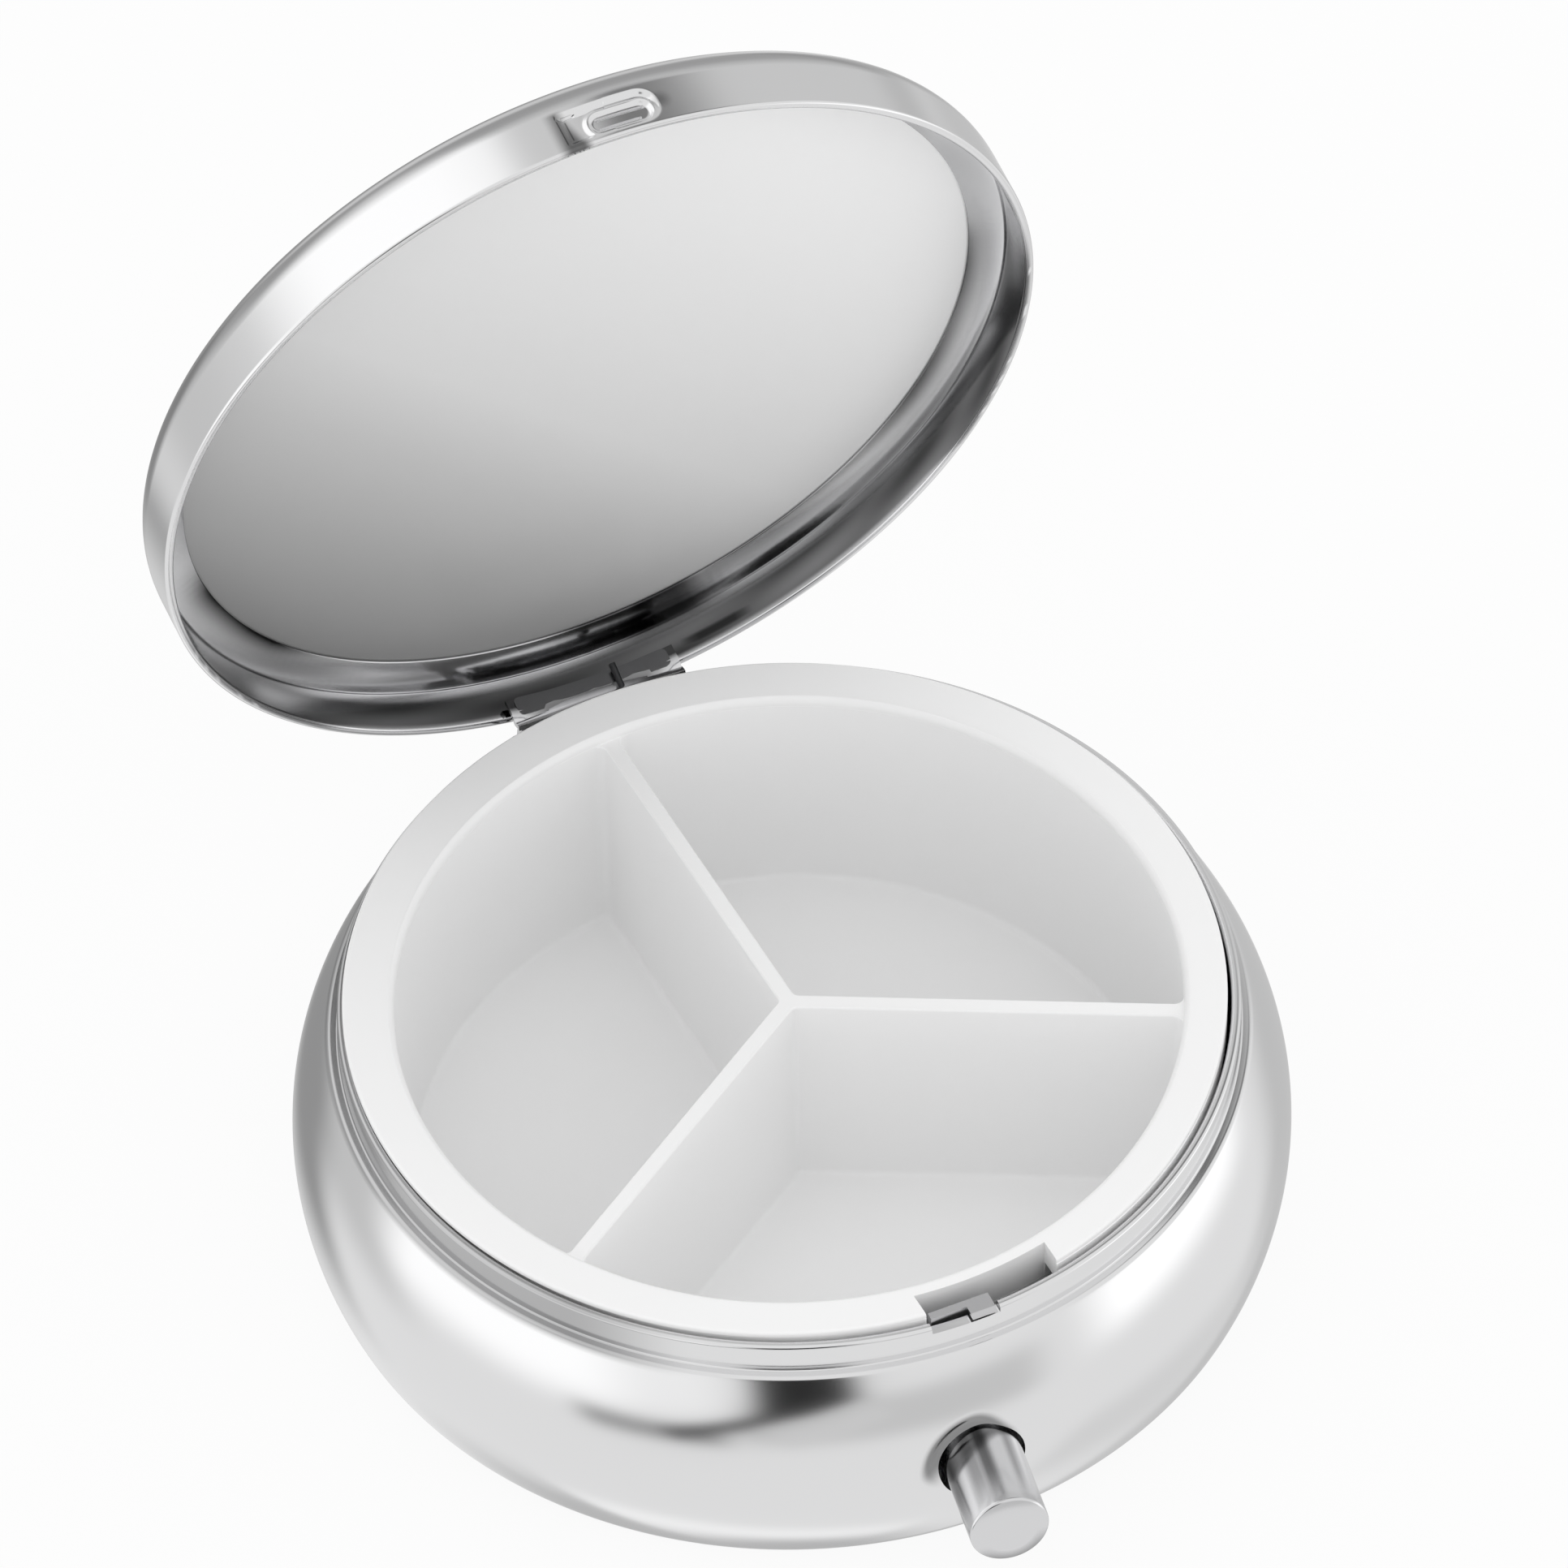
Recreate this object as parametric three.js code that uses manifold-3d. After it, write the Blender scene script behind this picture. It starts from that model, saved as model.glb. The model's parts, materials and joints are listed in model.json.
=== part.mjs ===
// Round metal pill box: a bulged base, a white tray with three compartments,
// a sprung lid with a mirror, and a push button that draws the latch back.
//
// Millimetres, +Z up. The origin is the centre of the flat bottom, the hinge
// is at the back (+Y) and the button at the front (-Y). The lid stands open
// at its stop. Its pieces are drawn as they lie on the closed box, inside a
// group that turns about the hinge.

import * as THREE from 'three';
import { mergeVertices } from 'three/addons/utils/BufferGeometryUtils.js';
import Module from 'manifold-3d';

const wasm = await Module();
wasm.setup();

// Fineness of round shapes
const circleSteps = 64;
const rodSteps = 16;
const buttonSteps = 28;
const wireSides = 5;
const wireStepsPerTurn = 8;

// Clearance where one piece seats on another, and overrun of every cutter
const seatGap = 0.3;
const overrun = 1;
const pointMerge = 0.000001;

// Base shell: one drawn sheet with a bulged side, a ledge and an upright neck
const baseRadius = 25;
const baseSheet = 0.5;
const bulgeHeight = 5.5;
const bulgeRadius = 13.25;
const footRound = 1.3;
const ledgeHeight = 12.6;
const ledgeWidth = 0.32;
const shoulderRound = 0.3;
const neckHeight = 1.7;
const neckFillet = 0.12;
const lipRound = 0.2;
const latchSlotWidth = 3.6;
const latchSlotDepth = 0.4;

// Tray: a moulded insert that stands on the base's floor
const trayTurnDegrees = 3.6;
const trayProud = 0.34;
const flangeClearance = 0.08;
const flangeThickness = 1.5;
const flangeWidth = 1.37;
const flangeEdgeRound = 0.2;
const trayWall = 0.9;
const trayDraft = 0.5;
const trayFloor = 0.85;
const trayFootRound = 0.6;
const dividerCount = 3;
const dividerThickness = 1.1;
const dividerDraft = 0.1;
const dividerDrop = 0.55;
const dividerEdgeRound = 0.15;
const pocketCorner = 0.8;
const pocketApex = 0.7;
const pocketFillet = 0.5;
const filletDegrees = [0, 30, 60, 90];
const trayMouthRound = 0.4;
const notchWidth = 7.2;
const notchWall = 0.05;

// Lid shell: one drawn sheet with an upright skirt and a shallow dome
const lidClearance = 0.5;
const lidSeatGap = 0.15;
const lidSheet = 0.45;
const lidSkirt = 2.6;
const lidCorner = 2;
const lidDomeRise = 0.6;
const lidHemRound = 0.15;
const lidOpenDegrees = 83;

// Catch: a pocket pressed inward at the front of the lid's skirt, with two slits
const catchWidth = 5.1;
const catchOffset = 0.35;
const catchLow = 0.25;
const catchHeight = 2.05;
const catchPress = 0.25;
const catchRound = 0.5;
const slitRoundShare = 0.3;
const nearSlitWidth = 2.2;
const nearSlitOffset = 0.7;
const nearSlitLow = 0.65;
const nearSlitHeight = 0.3;
const farSlitWidth = 2.65;
const farSlitOffset = 0.88;
const farSlitLow = 1.25;
const farSlitHeight = 0.4;

// Mirror, its adhesive pad and the pressed ring that frames it
const padRadius = 16;
const padThickness = 0.2;
const mirrorGap = 0.2;
const mirrorInset = 1.45;
const mirrorThickness = 0.6;
const mirrorBevel = 0.15;
const bezelSheet = 0.2;
const bezelLip = 0.3;
const bezelRise = 0.35;
const bezelBead = 0.2;
const bezelClearance = 0.27;
const bezelFlange = 0.45;

// Hinge: two leaves, their knuckles, the pin and the torsion spring
const pivotInset = 0.13;
const pivotDrop = 1.4;
const knuckleRadius = 1;
const knuckleGap = 0.2;
const hingeGap = 0.4;
const hingeEndPlay = 0.1;
const hingeWindowGap = 0.2;
const hingeWindowRound = 0.6;
const leafThickness = 0.35;
const baseLeafWidth = 8.8;
const baseLeafLow = 5;
const baseLeafTrim = 0.45;
const baseKnuckle = 1.3;
const lidKnuckle = 1.1;
const lidLeafInset = 0.2;
const lidLeafHeight = 1.08;
const lidLeafDrop = 0.33;
const lidLeafRound = 0.3;
const baseLeafRound = 0.8;
const pinRadius = 0.4;
const pinClearance = 0.22;
const pinHeadRadius = 0.7;
const pinHead = 0.3;
const springWire = 0.35;
const springRadius = 0.9;
const springEndGap = 0.325;
const springPitch = 0.8;
const springBaseLeg = 2.8;
const springBaseLegSlant = 0.63;
const springLidLeg = 2.4;
const springLidLegDegrees = 110;
const springApart = 0.75;

// Push button: a turned pin, peened over behind the latch
const buttonHeight = 6;
const buttonRadius = 2;
const buttonProud = 4.95;
const buttonSkewDegrees = 9.3;
const buttonTiltDegrees = 7;
const buttonHoleClearance = 0.3;
const buttonShoulderGap = 0.56;
const buttonNeckRadius = 0.8;
const buttonNeckClearance = 0.3;
const buttonHeadRadius = 1.4;
const buttonHead = 0.4;
const buttonHeadGap = 0.45;
const buttonChamfer = 0.16;
const buttonDome = 0.14;

// Latch: a cranked strip that stands inside the front wall, a little off the middle
const latchOffset = -0.45;
const latchWidth = 3.2;
const latchSheet = 0.4;
const latchInset = 1.9;
const latchNeckGap = 0.2;
const latchCrankAbove = 3.4;
const latchCrankHeight = 1.5;
const latchNoseWidth = 1.3;
const latchNoseReach = 0.75;
const latchNoseBelow = 0.2;
const latchNoseHeight = 0.2;
const latchNoseTip = 0.1;
const latchNoseRamp = 0.25;
const latchFoot = 2.1;

// Bow spring behind the latch and the staple that holds the latch's foot
const bowThickness = 0.25;
const bowHeight = 1.5;
const bowSpan = 12.4;
const bowGap = 0.1;
const bowSteps = 12;
const stapleSheet = 0.3;
const stapleDepth = 0.5;
const stapleSideGap = 0.45;
const stapleBack = 1.3;

// Places that follow from the sizes above
const sideCentre = baseRadius - bulgeRadius;
const footCentre = sideCentre + leg(bulgeRadius - footRound, bulgeHeight - footRound);
const footDegrees = angleOf(footCentre - sideCentre, footRound - bulgeHeight);
const shoulderHeight = ledgeHeight - shoulderRound;
const shoulderCentre = sideCentre + leg(bulgeRadius - shoulderRound, shoulderHeight - bulgeHeight);
const shoulderDegrees = angleOf(shoulderCentre - sideCentre, shoulderHeight - bulgeHeight);
const neckRadius = shoulderCentre - ledgeWidth;
const neckInside = neckRadius - baseSheet;
const neckTop = ledgeHeight + neckHeight;

const trayTop = neckTop + trayProud;
const trayBottom = baseSheet + seatGap;
const flangeRadius = neckInside - flangeClearance;
const flangeLow = trayTop - flangeThickness;
const bowlRadius = flangeRadius - flangeWidth;
const bowlFootRadius = bowlRadius - trayDraft;
const pocketRadius = bowlRadius - trayWall;
const pocketFloor = trayBottom + trayFloor;
const dividerTop = trayTop - dividerDrop;

const rimHeight = ledgeHeight + lidSeatGap;
const lidInside = neckRadius + lidClearance;
const lidRadius = lidInside + lidSheet;
const domeRadius = lidRadius - lidCorner;
const domeFoot = rimHeight + lidSkirt + lidCorner;
const padBack = domeHeight(padRadius) - lidSheet - mirrorGap;
const padFront = padBack - padThickness;
const mirrorBack = padFront - mirrorGap;
const mirrorFront = mirrorBack - mirrorThickness;
const bezelBack = mirrorFront - mirrorGap;
const mirrorRadius = lidInside - mirrorInset;

const pivotY = lidRadius - pivotInset;
const pivotZ = rimHeight - pivotDrop;
const boreRadius = pinRadius + pinClearance;
const baseKnuckleInner = baseLeafWidth / 2 - baseKnuckle;
const lidKnuckleOuter = baseKnuckleInner - knuckleGap;
const lidKnuckleInner = lidKnuckleOuter - lidKnuckle;
const lidLeafWidth = baseLeafWidth - 2 * lidLeafInset;
const hingeWindowWidth = baseLeafWidth + 2 * (hingeEndPlay + pinHead + hingeWindowGap);
const springLength = 2 * (lidKnuckleInner - springEndGap) - springWire;
const springTurns = Math.max(1, Math.floor(springLength / springPitch));

const plateOuter = -(baseRadius - latchInset);
const plateInner = plateOuter + latchSheet;
const stemOuter = -(neckInside - latchNeckGap);
const stemInner = stemOuter + latchSheet;

// The other side of a right triangle
function leg(hypotenuse, side) {
  return Math.sqrt(hypotenuse * hypotenuse - side * side);
}

function angleOf(across, up) {
  return THREE.MathUtils.radToDeg(Math.atan2(up, across));
}

// Height of the lid's outer face at a radius, on the closed box
function domeHeight(radius) {
  const share = radius / domeRadius;
  return domeFoot + lidDomeRise * (1 - share * share);
}

// Radius of the tray's outer wall at a height
function bowlRadiusAt(height) {
  const share = (height - trayBottom) / (flangeLow - trayBottom);
  return bowlFootRadius + trayDraft * share;
}

// Drops points that lie on the point before them
function joined(...runs) {
  const points = [];
  for (const point of runs.flat()) {
    const previous = points[points.length - 1];
    if (!previous || previous.distanceTo(point) > pointMerge) points.push(point);
  }
  return points;
}

function at(x, y) {
  return new THREE.Vector2(x, y);
}

// Points along an arc, from one angle to another in degrees
function arc(centreX, centreY, radius, from, to, steps) {
  return Array.from({ length: steps + 1 }, (_, i) => {
    const angle = THREE.MathUtils.degToRad(from + ((to - from) * i) / steps);
    return at(centreX + radius * Math.cos(angle), centreY + radius * Math.sin(angle));
  });
}

// A rectangle with round corners, as a closed outline
function roundedOutline(left, right, low, high, round) {
  return joined(
    arc(right - round, low + round, round, 270, 360, 3),
    arc(right - round, high - round, round, 0, 90, 3),
    arc(left + round, high - round, round, 90, 180, 3),
    arc(left + round, low + round, round, 180, 270, 3),
  );
}

// Turns a closed geometry into a solid for cutting and joining
function solid(geometry) {
  const bare = new THREE.BufferGeometry();
  bare.setAttribute('position', geometry.getAttribute('position'));
  bare.setIndex(geometry.getIndex());
  const merged = mergeVertices(bare);
  const place = merged.getAttribute('position');
  const corners = Array.from(merged.getIndex().array);
  const faces = [];
  let volume = 0;
  for (let i = 0; i < corners.length; i += 3) {
    const [a, b, c] = corners.slice(i, i + 3);
    if (a === b || b === c || c === a) continue;
    faces.push([a, b, c]);
    const [p, q, r] = [a, b, c].map((k) => new THREE.Vector3().fromBufferAttribute(place, k));
    volume += p.dot(q.cross(r));
  }
  if (volume < 0) faces.forEach((face) => face.reverse());
  return new wasm.Manifold(new wasm.Mesh({
    numProp: 3,
    vertProperties: new Float32Array(place.array),
    triVerts: new Uint32Array(faces.flat()),
  }));
}

// A profile of radius and height, turned about the vertical axis
function revolve(profile, steps = circleSteps) {
  return solid(new THREE.LatheGeometry(profile, steps).rotateX(Math.PI / 2));
}

function ring(inner, outer, low, high) {
  return revolve([at(inner, low), at(outer, low), at(outer, high), at(inner, high), at(inner, low)]);
}

function box(left, right, front, back, low, high) {
  const geometry = new THREE.BoxGeometry(right - left, back - front, high - low);
  geometry.translate((left + right) / 2, (front + back) / 2, (low + high) / 2);
  return solid(geometry);
}

function extrusion(outline, depth) {
  return new THREE.ExtrudeGeometry(new THREE.Shape(outline), { depth, bevelEnabled: false });
}

// An outline in plan, raised from a low to a high level
function raised(outline, low, high) {
  return solid(extrusion(outline, high - low).translate(0, 0, low));
}

// An outline of Y and Z, as wide as given and centred on the middle plane
function acrossX(outline, width) {
  const basis = new THREE.Matrix4().makeBasis(
    new THREE.Vector3(0, 1, 0), new THREE.Vector3(0, 0, 1), new THREE.Vector3(1, 0, 0));
  return solid(extrusion(outline, width).translate(0, 0, -width / 2).applyMatrix4(basis));
}

// An outline of X and Z, running from a front to a back
function alongY(outline, front, back) {
  const basis = new THREE.Matrix4().makeBasis(
    new THREE.Vector3(1, 0, 0), new THREE.Vector3(0, 0, 1), new THREE.Vector3(0, -1, 0));
  return solid(extrusion(outline, back - front).applyMatrix4(basis).translate(0, back, 0));
}

// A round bar along X about the hinge's pivot
function hingeBar(radius, left, right) {
  const geometry = new THREE.CylinderGeometry(radius, radius, right - left, rodSteps);
  return solid(geometry.rotateZ(Math.PI / 2).translate((left + right) / 2, pivotY, pivotZ));
}

// A solid through rings of points that all have the same count
function loft(rings) {
  const count = rings[0].length;
  const positions = rings.flat().flatMap((point) => point.toArray());
  const corners = [];
  for (let i = 0; i < rings.length - 1; i += 1) {
    for (let k = 0; k < count; k += 1) {
      const next = (k + 1) % count;
      const [a, b] = [i * count + k, i * count + next];
      corners.push(a, b, b + count, a, b + count, a + count);
    }
  }
  const top = (rings.length - 1) * count;
  for (let k = 1; k < count - 1; k += 1) {
    corners.push(0, k + 1, k);
    corners.push(top, top + k, top + k + 1);
  }
  const geometry = new THREE.BufferGeometry();
  geometry.setAttribute('position', new THREE.Float32BufferAttribute(positions, 3));
  geometry.setIndex(corners);
  return solid(geometry);
}

// A round wire through points, with flat ends
function wire(points, radius) {
  const last = points.length - 1;
  let side = new THREE.Vector3(1, 0, 0);
  const rings = points.map((point, i) => {
    const ahead = points[Math.min(i + 1, last)].clone().sub(points[Math.max(i - 1, 0)]).normalize();
    side = side.clone().addScaledVector(ahead, -side.dot(ahead)).normalize();
    const up = ahead.clone().cross(side);
    return Array.from({ length: wireSides }, (_, k) => {
      const angle = (2 * Math.PI * k) / wireSides;
      return point.clone()
        .addScaledVector(side, radius * Math.cos(angle))
        .addScaledVector(up, radius * Math.sin(angle));
    });
  });
  return loft(rings);
}

function mesh(name, body, material) {
  const shape = body.getMesh();
  const geometry = new THREE.BufferGeometry();
  geometry.setAttribute('position', new THREE.BufferAttribute(shape.vertProperties, 3));
  geometry.setIndex(new THREE.BufferAttribute(shape.triVerts, 1));
  geometry.computeVertexNormals();
  const piece = new THREE.Mesh(geometry, material);
  piece.name = name;
  return piece;
}

function finish(color, roughness, metalness) {
  return new THREE.MeshStandardMaterial({ color, roughness, metalness });
}

// Finishes
const satinMetal = finish(0xc4c4c6, 0.3, 1);
const brightMetal = finish(0xd6d6d8, 0.12, 1);
const springSteel = finish(0x9a9a9e, 0.35, 1);
const whitePlastic = finish(0xf2f2f0, 0.45, 0);
const mirrorSilver = finish(0xe6e8ea, 0.03, 1);
const padGrey = finish(0x6a6a6c, 0.9, 0);

// The base: outer face from the bottom's middle up to the lip, then the inner face back down
function makeBaseShell() {
  const inside = ledgeHeight - baseSheet;
  const insideDegrees = THREE.MathUtils.radToDeg(
    Math.asin((inside - bulgeHeight) / (bulgeRadius - baseSheet)));
  const lip = neckTop - lipRound;
  const profile = joined(
    [at(0, 0)],
    arc(footCentre, footRound, footRound, -90, footDegrees, 3),
    arc(sideCentre, bulgeHeight, bulgeRadius, footDegrees, shoulderDegrees, 8),
    arc(shoulderCentre, shoulderHeight, shoulderRound, shoulderDegrees, 90, 2),
    arc(neckRadius + neckFillet, ledgeHeight + neckFillet, neckFillet, 270, 180, 1),
    arc(neckRadius - lipRound, lip, lipRound, 0, 90, 2),
    arc(neckInside + lipRound, lip, lipRound, 90, 180, 2),
    arc(neckRadius + neckFillet, ledgeHeight + neckFillet, neckFillet + baseSheet, 180, 270, 2),
    arc(sideCentre, bulgeHeight, bulgeRadius - baseSheet, insideDegrees, footDegrees, 5),
    arc(footCentre, footRound, footRound - baseSheet, footDegrees, -90, 2),
    [at(0, baseSheet)],
  );
  const windowLow = pivotZ - knuckleRadius - hingeGap;
  const hingeWindow = alongY(
    roundedOutline(-hingeWindowWidth / 2, hingeWindowWidth / 2, windowLow, neckTop + overrun,
      hingeWindowRound),
    bowlRadius, baseRadius + overrun);
  const latchSlot = box(latchOffset - latchSlotWidth / 2, latchOffset + latchSlotWidth / 2,
    -neckRadius - overrun, -neckInside + overrun, neckTop - latchSlotDepth, neckTop + overrun);
  return revolve(profile)
    .subtract(hingeWindow)
    .subtract(latchSlot)
    .subtract(alongButton(buttonRadius + buttonHoleClearance, 0, buttonReach() + overrun));
}

// A compartment's outline: a sector between two dividers, with round corners
function pocketOutline(halfDivider, radius, corner, apex, height, turnDegrees) {
  const half = 180 / dividerCount;
  const offset = Math.asin((halfDivider + corner) / (radius - corner));
  const cornerDegrees = half - THREE.MathUtils.radToDeg(offset);
  const cornerAngle = THREE.MathUtils.degToRad(cornerDegrees);
  const [cornerX, cornerY] = [Math.cos(cornerAngle), Math.sin(cornerAngle)].map((k) => k * (radius - corner));
  const apexX = (halfDivider + apex) / Math.sin(THREE.MathUtils.degToRad(half));
  const outline = joined(
    arc(0, 0, radius, -cornerDegrees, cornerDegrees, 14),
    arc(cornerX, cornerY, corner, cornerDegrees, half + 90, 3),
    arc(apexX, 0, apex, half + 90, 270 - half, 3),
    arc(cornerX, -cornerY, corner, 270 - half, 360 - cornerDegrees, 3),
  ).slice(0, -1);
  const turn = THREE.MathUtils.degToRad(turnDegrees);
  return outline.map((point) => {
    const turned = point.rotateAround(at(0, 0), turn);
    return new THREE.Vector3(turned.x, turned.y, height);
  });
}

// A compartment as a cutter: a filleted floor, drafted walls and eased divider edges
function makePocket(turnDegrees) {
  const halfTop = dividerThickness / 2;
  const depth = dividerTop - pocketFloor;
  const section = (height, inset) => {
    const draft = (dividerTop - height) / depth;
    const half = halfTop + dividerDraft * draft + inset;
    const radius = pocketRadius - trayDraft * draft - inset;
    return pocketOutline(half, radius, pocketCorner - inset, pocketApex - inset, height, turnDegrees);
  };
  const floor = filletDegrees.map((degrees) => {
    const angle = THREE.MathUtils.degToRad(degrees);
    return section(pocketFloor + pocketFillet * (1 - Math.cos(angle)), pocketFillet * (1 - Math.sin(angle)));
  });
  return loft([
    ...floor,
    section(dividerTop - dividerEdgeRound, 0),
    section(dividerTop, -dividerEdgeRound),
    section(dividerTop + overrun, -dividerEdgeRound),
  ]);
}

// The tray: flange and bowl, less the pockets, the mouth above the dividers and the latch notch
function makeTray() {
  const profile = joined(
    [at(0, trayBottom)],
    arc(bowlFootRadius - trayFootRound, trayBottom + trayFootRound, trayFootRound, -90, 0, 3),
    [at(bowlRadius, flangeLow), at(flangeRadius, flangeLow)],
    arc(flangeRadius - flangeEdgeRound, trayTop - flangeEdgeRound, flangeEdgeRound, 0, 90, 2),
    [at(0, trayTop)],
  );
  const mouthRadius = pocketRadius + dividerEdgeRound;
  const mouth = revolve(joined(
    [at(0, dividerTop), at(mouthRadius, dividerTop)],
    arc(mouthRadius + trayMouthRound, trayTop - trayMouthRound, trayMouthRound, 180, 90, 3),
    [at(mouthRadius + trayMouthRound, trayTop + overrun), at(0, trayTop + overrun)],
  ));
  const notch = ring(bowlRadius - notchWall, flangeRadius + overrun, flangeLow - overrun, trayTop + overrun)
    .intersect(box(-notchWidth / 2, notchWidth / 2, -flangeRadius - overrun, 0,
      flangeLow - overrun, trayTop + overrun));
  let tray = revolve(profile).subtract(mouth);
  for (let i = 0; i < dividerCount; i += 1) {
    tray = tray.subtract(makePocket(-90 + (360 * i) / dividerCount));
  }
  return tray.subtract(notch);
}

// The lid: outer face from the dome's middle down to the hem, then the inner face back up
function makeLidShell() {
  const cornerHeight = rimHeight + lidSkirt;
  const domeShares = [0, 0.35, 0.7];
  const hem = rimHeight + lidHemRound;
  const profile = joined(
    domeShares.map((share) => at(share * domeRadius, domeHeight(share * domeRadius))),
    arc(domeRadius, cornerHeight, lidCorner, 90, 0, 6),
    arc(lidRadius - lidHemRound, hem, lidHemRound, 0, -90, 2),
    arc(lidInside + lidHemRound, hem, lidHemRound, -90, -180, 2),
    arc(domeRadius, cornerHeight, lidCorner - lidSheet, 0, 90, 4),
    domeShares.toReversed().map((share) => at(share * domeRadius, domeHeight(share * domeRadius) - lidSheet)),
  );
  const low = rimHeight + catchLow;
  const high = low + catchHeight;
  const [left, right] = [catchOffset - catchWidth / 2, catchOffset + catchWidth / 2];
  const pad = (inner, outer, shrink) => {
    const outline = roundedOutline(left + shrink, right - shrink, low + shrink, high - shrink, catchRound);
    return ring(inner, outer, low - overrun, high + overrun).intersect(alongY(outline, -outer - overrun, 0));
  };
  const lid = revolve(profile)
    .add(pad(lidInside - catchPress, lidInside + lidSheet / 2, 0))
    .subtract(pad(lidRadius - catchPress, lidRadius + overrun, catchPress / 2));
  const slit = (middle, width, above, height) => {
    const slitLow = rimHeight + above;
    const outline = roundedOutline(
      middle - width / 2, middle + width / 2, slitLow, slitLow + height, height * slitRoundShare);
    return alongY(outline, -lidRadius - overrun, -lidInside + overrun);
  };
  return lid
    .subtract(slit(nearSlitOffset, nearSlitWidth, nearSlitLow, nearSlitHeight))
    .subtract(slit(farSlitOffset, farSlitWidth, farSlitLow, farSlitHeight));
}

function makeMirror() {
  return revolve([
    at(0, mirrorFront),
    at(mirrorRadius - mirrorBevel, mirrorFront),
    at(mirrorRadius, mirrorFront + mirrorBevel),
    at(mirrorRadius, mirrorBack),
    at(0, mirrorBack),
  ]);
}

function makePad() {
  const profile = [at(0, padFront), at(padRadius, padFront), at(padRadius, padBack), at(0, padBack)];
  return revolve(profile, circleSteps / 2);
}

// The bezel: a pressed ring with a raised bead, notched where the catch comes inward
function makeBezel() {
  const outer = lidInside - bezelClearance;
  const lipRadius = mirrorRadius - bezelLip;
  const lipFront = bezelBack - bezelSheet;
  const crest = lipFront - bezelRise;
  const beadCentre = outer - bezelBead;
  const bezel = revolve(joined(
    [at(lipRadius, bezelBack), at(lipRadius, lipFront)],
    arc(beadCentre, crest + bezelBead, bezelBead, -110, 0, 4),
    [at(outer, crest + bezelFlange + bezelBead), at(outer - bezelSheet, crest + bezelFlange + bezelBead)],
    [at(outer - bezelSheet, crest + bezelBead + bezelSheet)],
    [at(lipRadius + bezelLip, bezelBack), at(lipRadius, bezelBack)],
  ));
  const half = catchWidth / 2 + seatGap;
  const catchClear = lidInside - catchPress - seatGap;
  const clearing = ring(catchClear, lidInside, crest - overrun, bezelBack + overrun)
    .intersect(box(catchOffset - half, catchOffset + half, -lidInside, 0, crest - overrun, bezelBack + overrun));
  return bezel.subtract(clearing);
}

// Knuckles on both sides of the middle plane, with the bore through them
function knuckles(leaf, inner, outer) {
  return leaf
    .add(hingeBar(knuckleRadius, inner, outer))
    .add(hingeBar(knuckleRadius, -outer, -inner))
    .subtract(hingeBar(boreRadius, -outer - overrun, outer + overrun));
}

// The lid's leaf: a strip inside the skirt with two arms down to its knuckles
function makeLidLeaf() {
  const outer = lidInside - lidClearance / 2;
  const inner = outer - leafThickness;
  const high = rimHeight + lidLeafHeight - lidLeafDrop;
  const low = rimHeight - lidLeafDrop;
  const strip = alongY(roundedOutline(-lidLeafWidth / 2, lidLeafWidth / 2, low, high, lidLeafRound), 0, lidRadius);
  const arms = box(-lidKnuckleOuter, lidKnuckleOuter, 0, lidRadius, pivotZ, low + lidLeafRound)
    .subtract(box(-lidKnuckleInner, lidKnuckleInner, 0, lidRadius, pivotZ - overrun, low));
  return knuckles(ring(inner, outer, pivotZ, high).intersect(strip.add(arms)), lidKnuckleInner, lidKnuckleOuter);
}

// The base's leaf: a band that follows the inside of the wall, cut away for the lid's knuckles
function makeBaseLeaf() {
  const outerRadius = bulgeRadius - baseSheet - seatGap;
  const innerRadius = outerRadius - leafThickness;
  const high = pivotZ - baseLeafTrim;
  const degreesAt = (radius, height) => THREE.MathUtils.radToDeg(Math.asin((height - bulgeHeight) / radius));
  const section = (radius, low, top, steps) =>
    arc(sideCentre, bulgeHeight, radius, degreesAt(radius, low), degreesAt(radius, top), steps);
  const profile = joined(
    section(outerRadius, baseLeafLow, high, 6),
    section(innerRadius, high, baseLeafLow, 6),
    section(outerRadius, baseLeafLow, baseLeafLow + overrun, 1).slice(0, 1),
  );
  const half = baseLeafWidth / 2;
  const plate = alongY(roundedOutline(-half, half, baseLeafLow, high + overrun, baseLeafRound), 0, baseRadius);
  const middle = baseKnuckleInner - knuckleGap / 2;
  const opening = box(-middle, middle, 0, baseRadius, pivotZ - knuckleRadius - hingeGap, pivotZ + overrun);
  const leaf = revolve(profile).intersect(plate).subtract(opening);
  return knuckles(leaf, baseKnuckleInner, baseLeafWidth / 2);
}

function makeHingePin() {
  const end = baseLeafWidth / 2 + hingeEndPlay;
  return hingeBar(pinRadius, -end, end)
    .add(hingeBar(pinHeadRadius, end, end + pinHead))
    .add(hingeBar(pinHeadRadius, -end - pinHead, -end));
}

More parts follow.
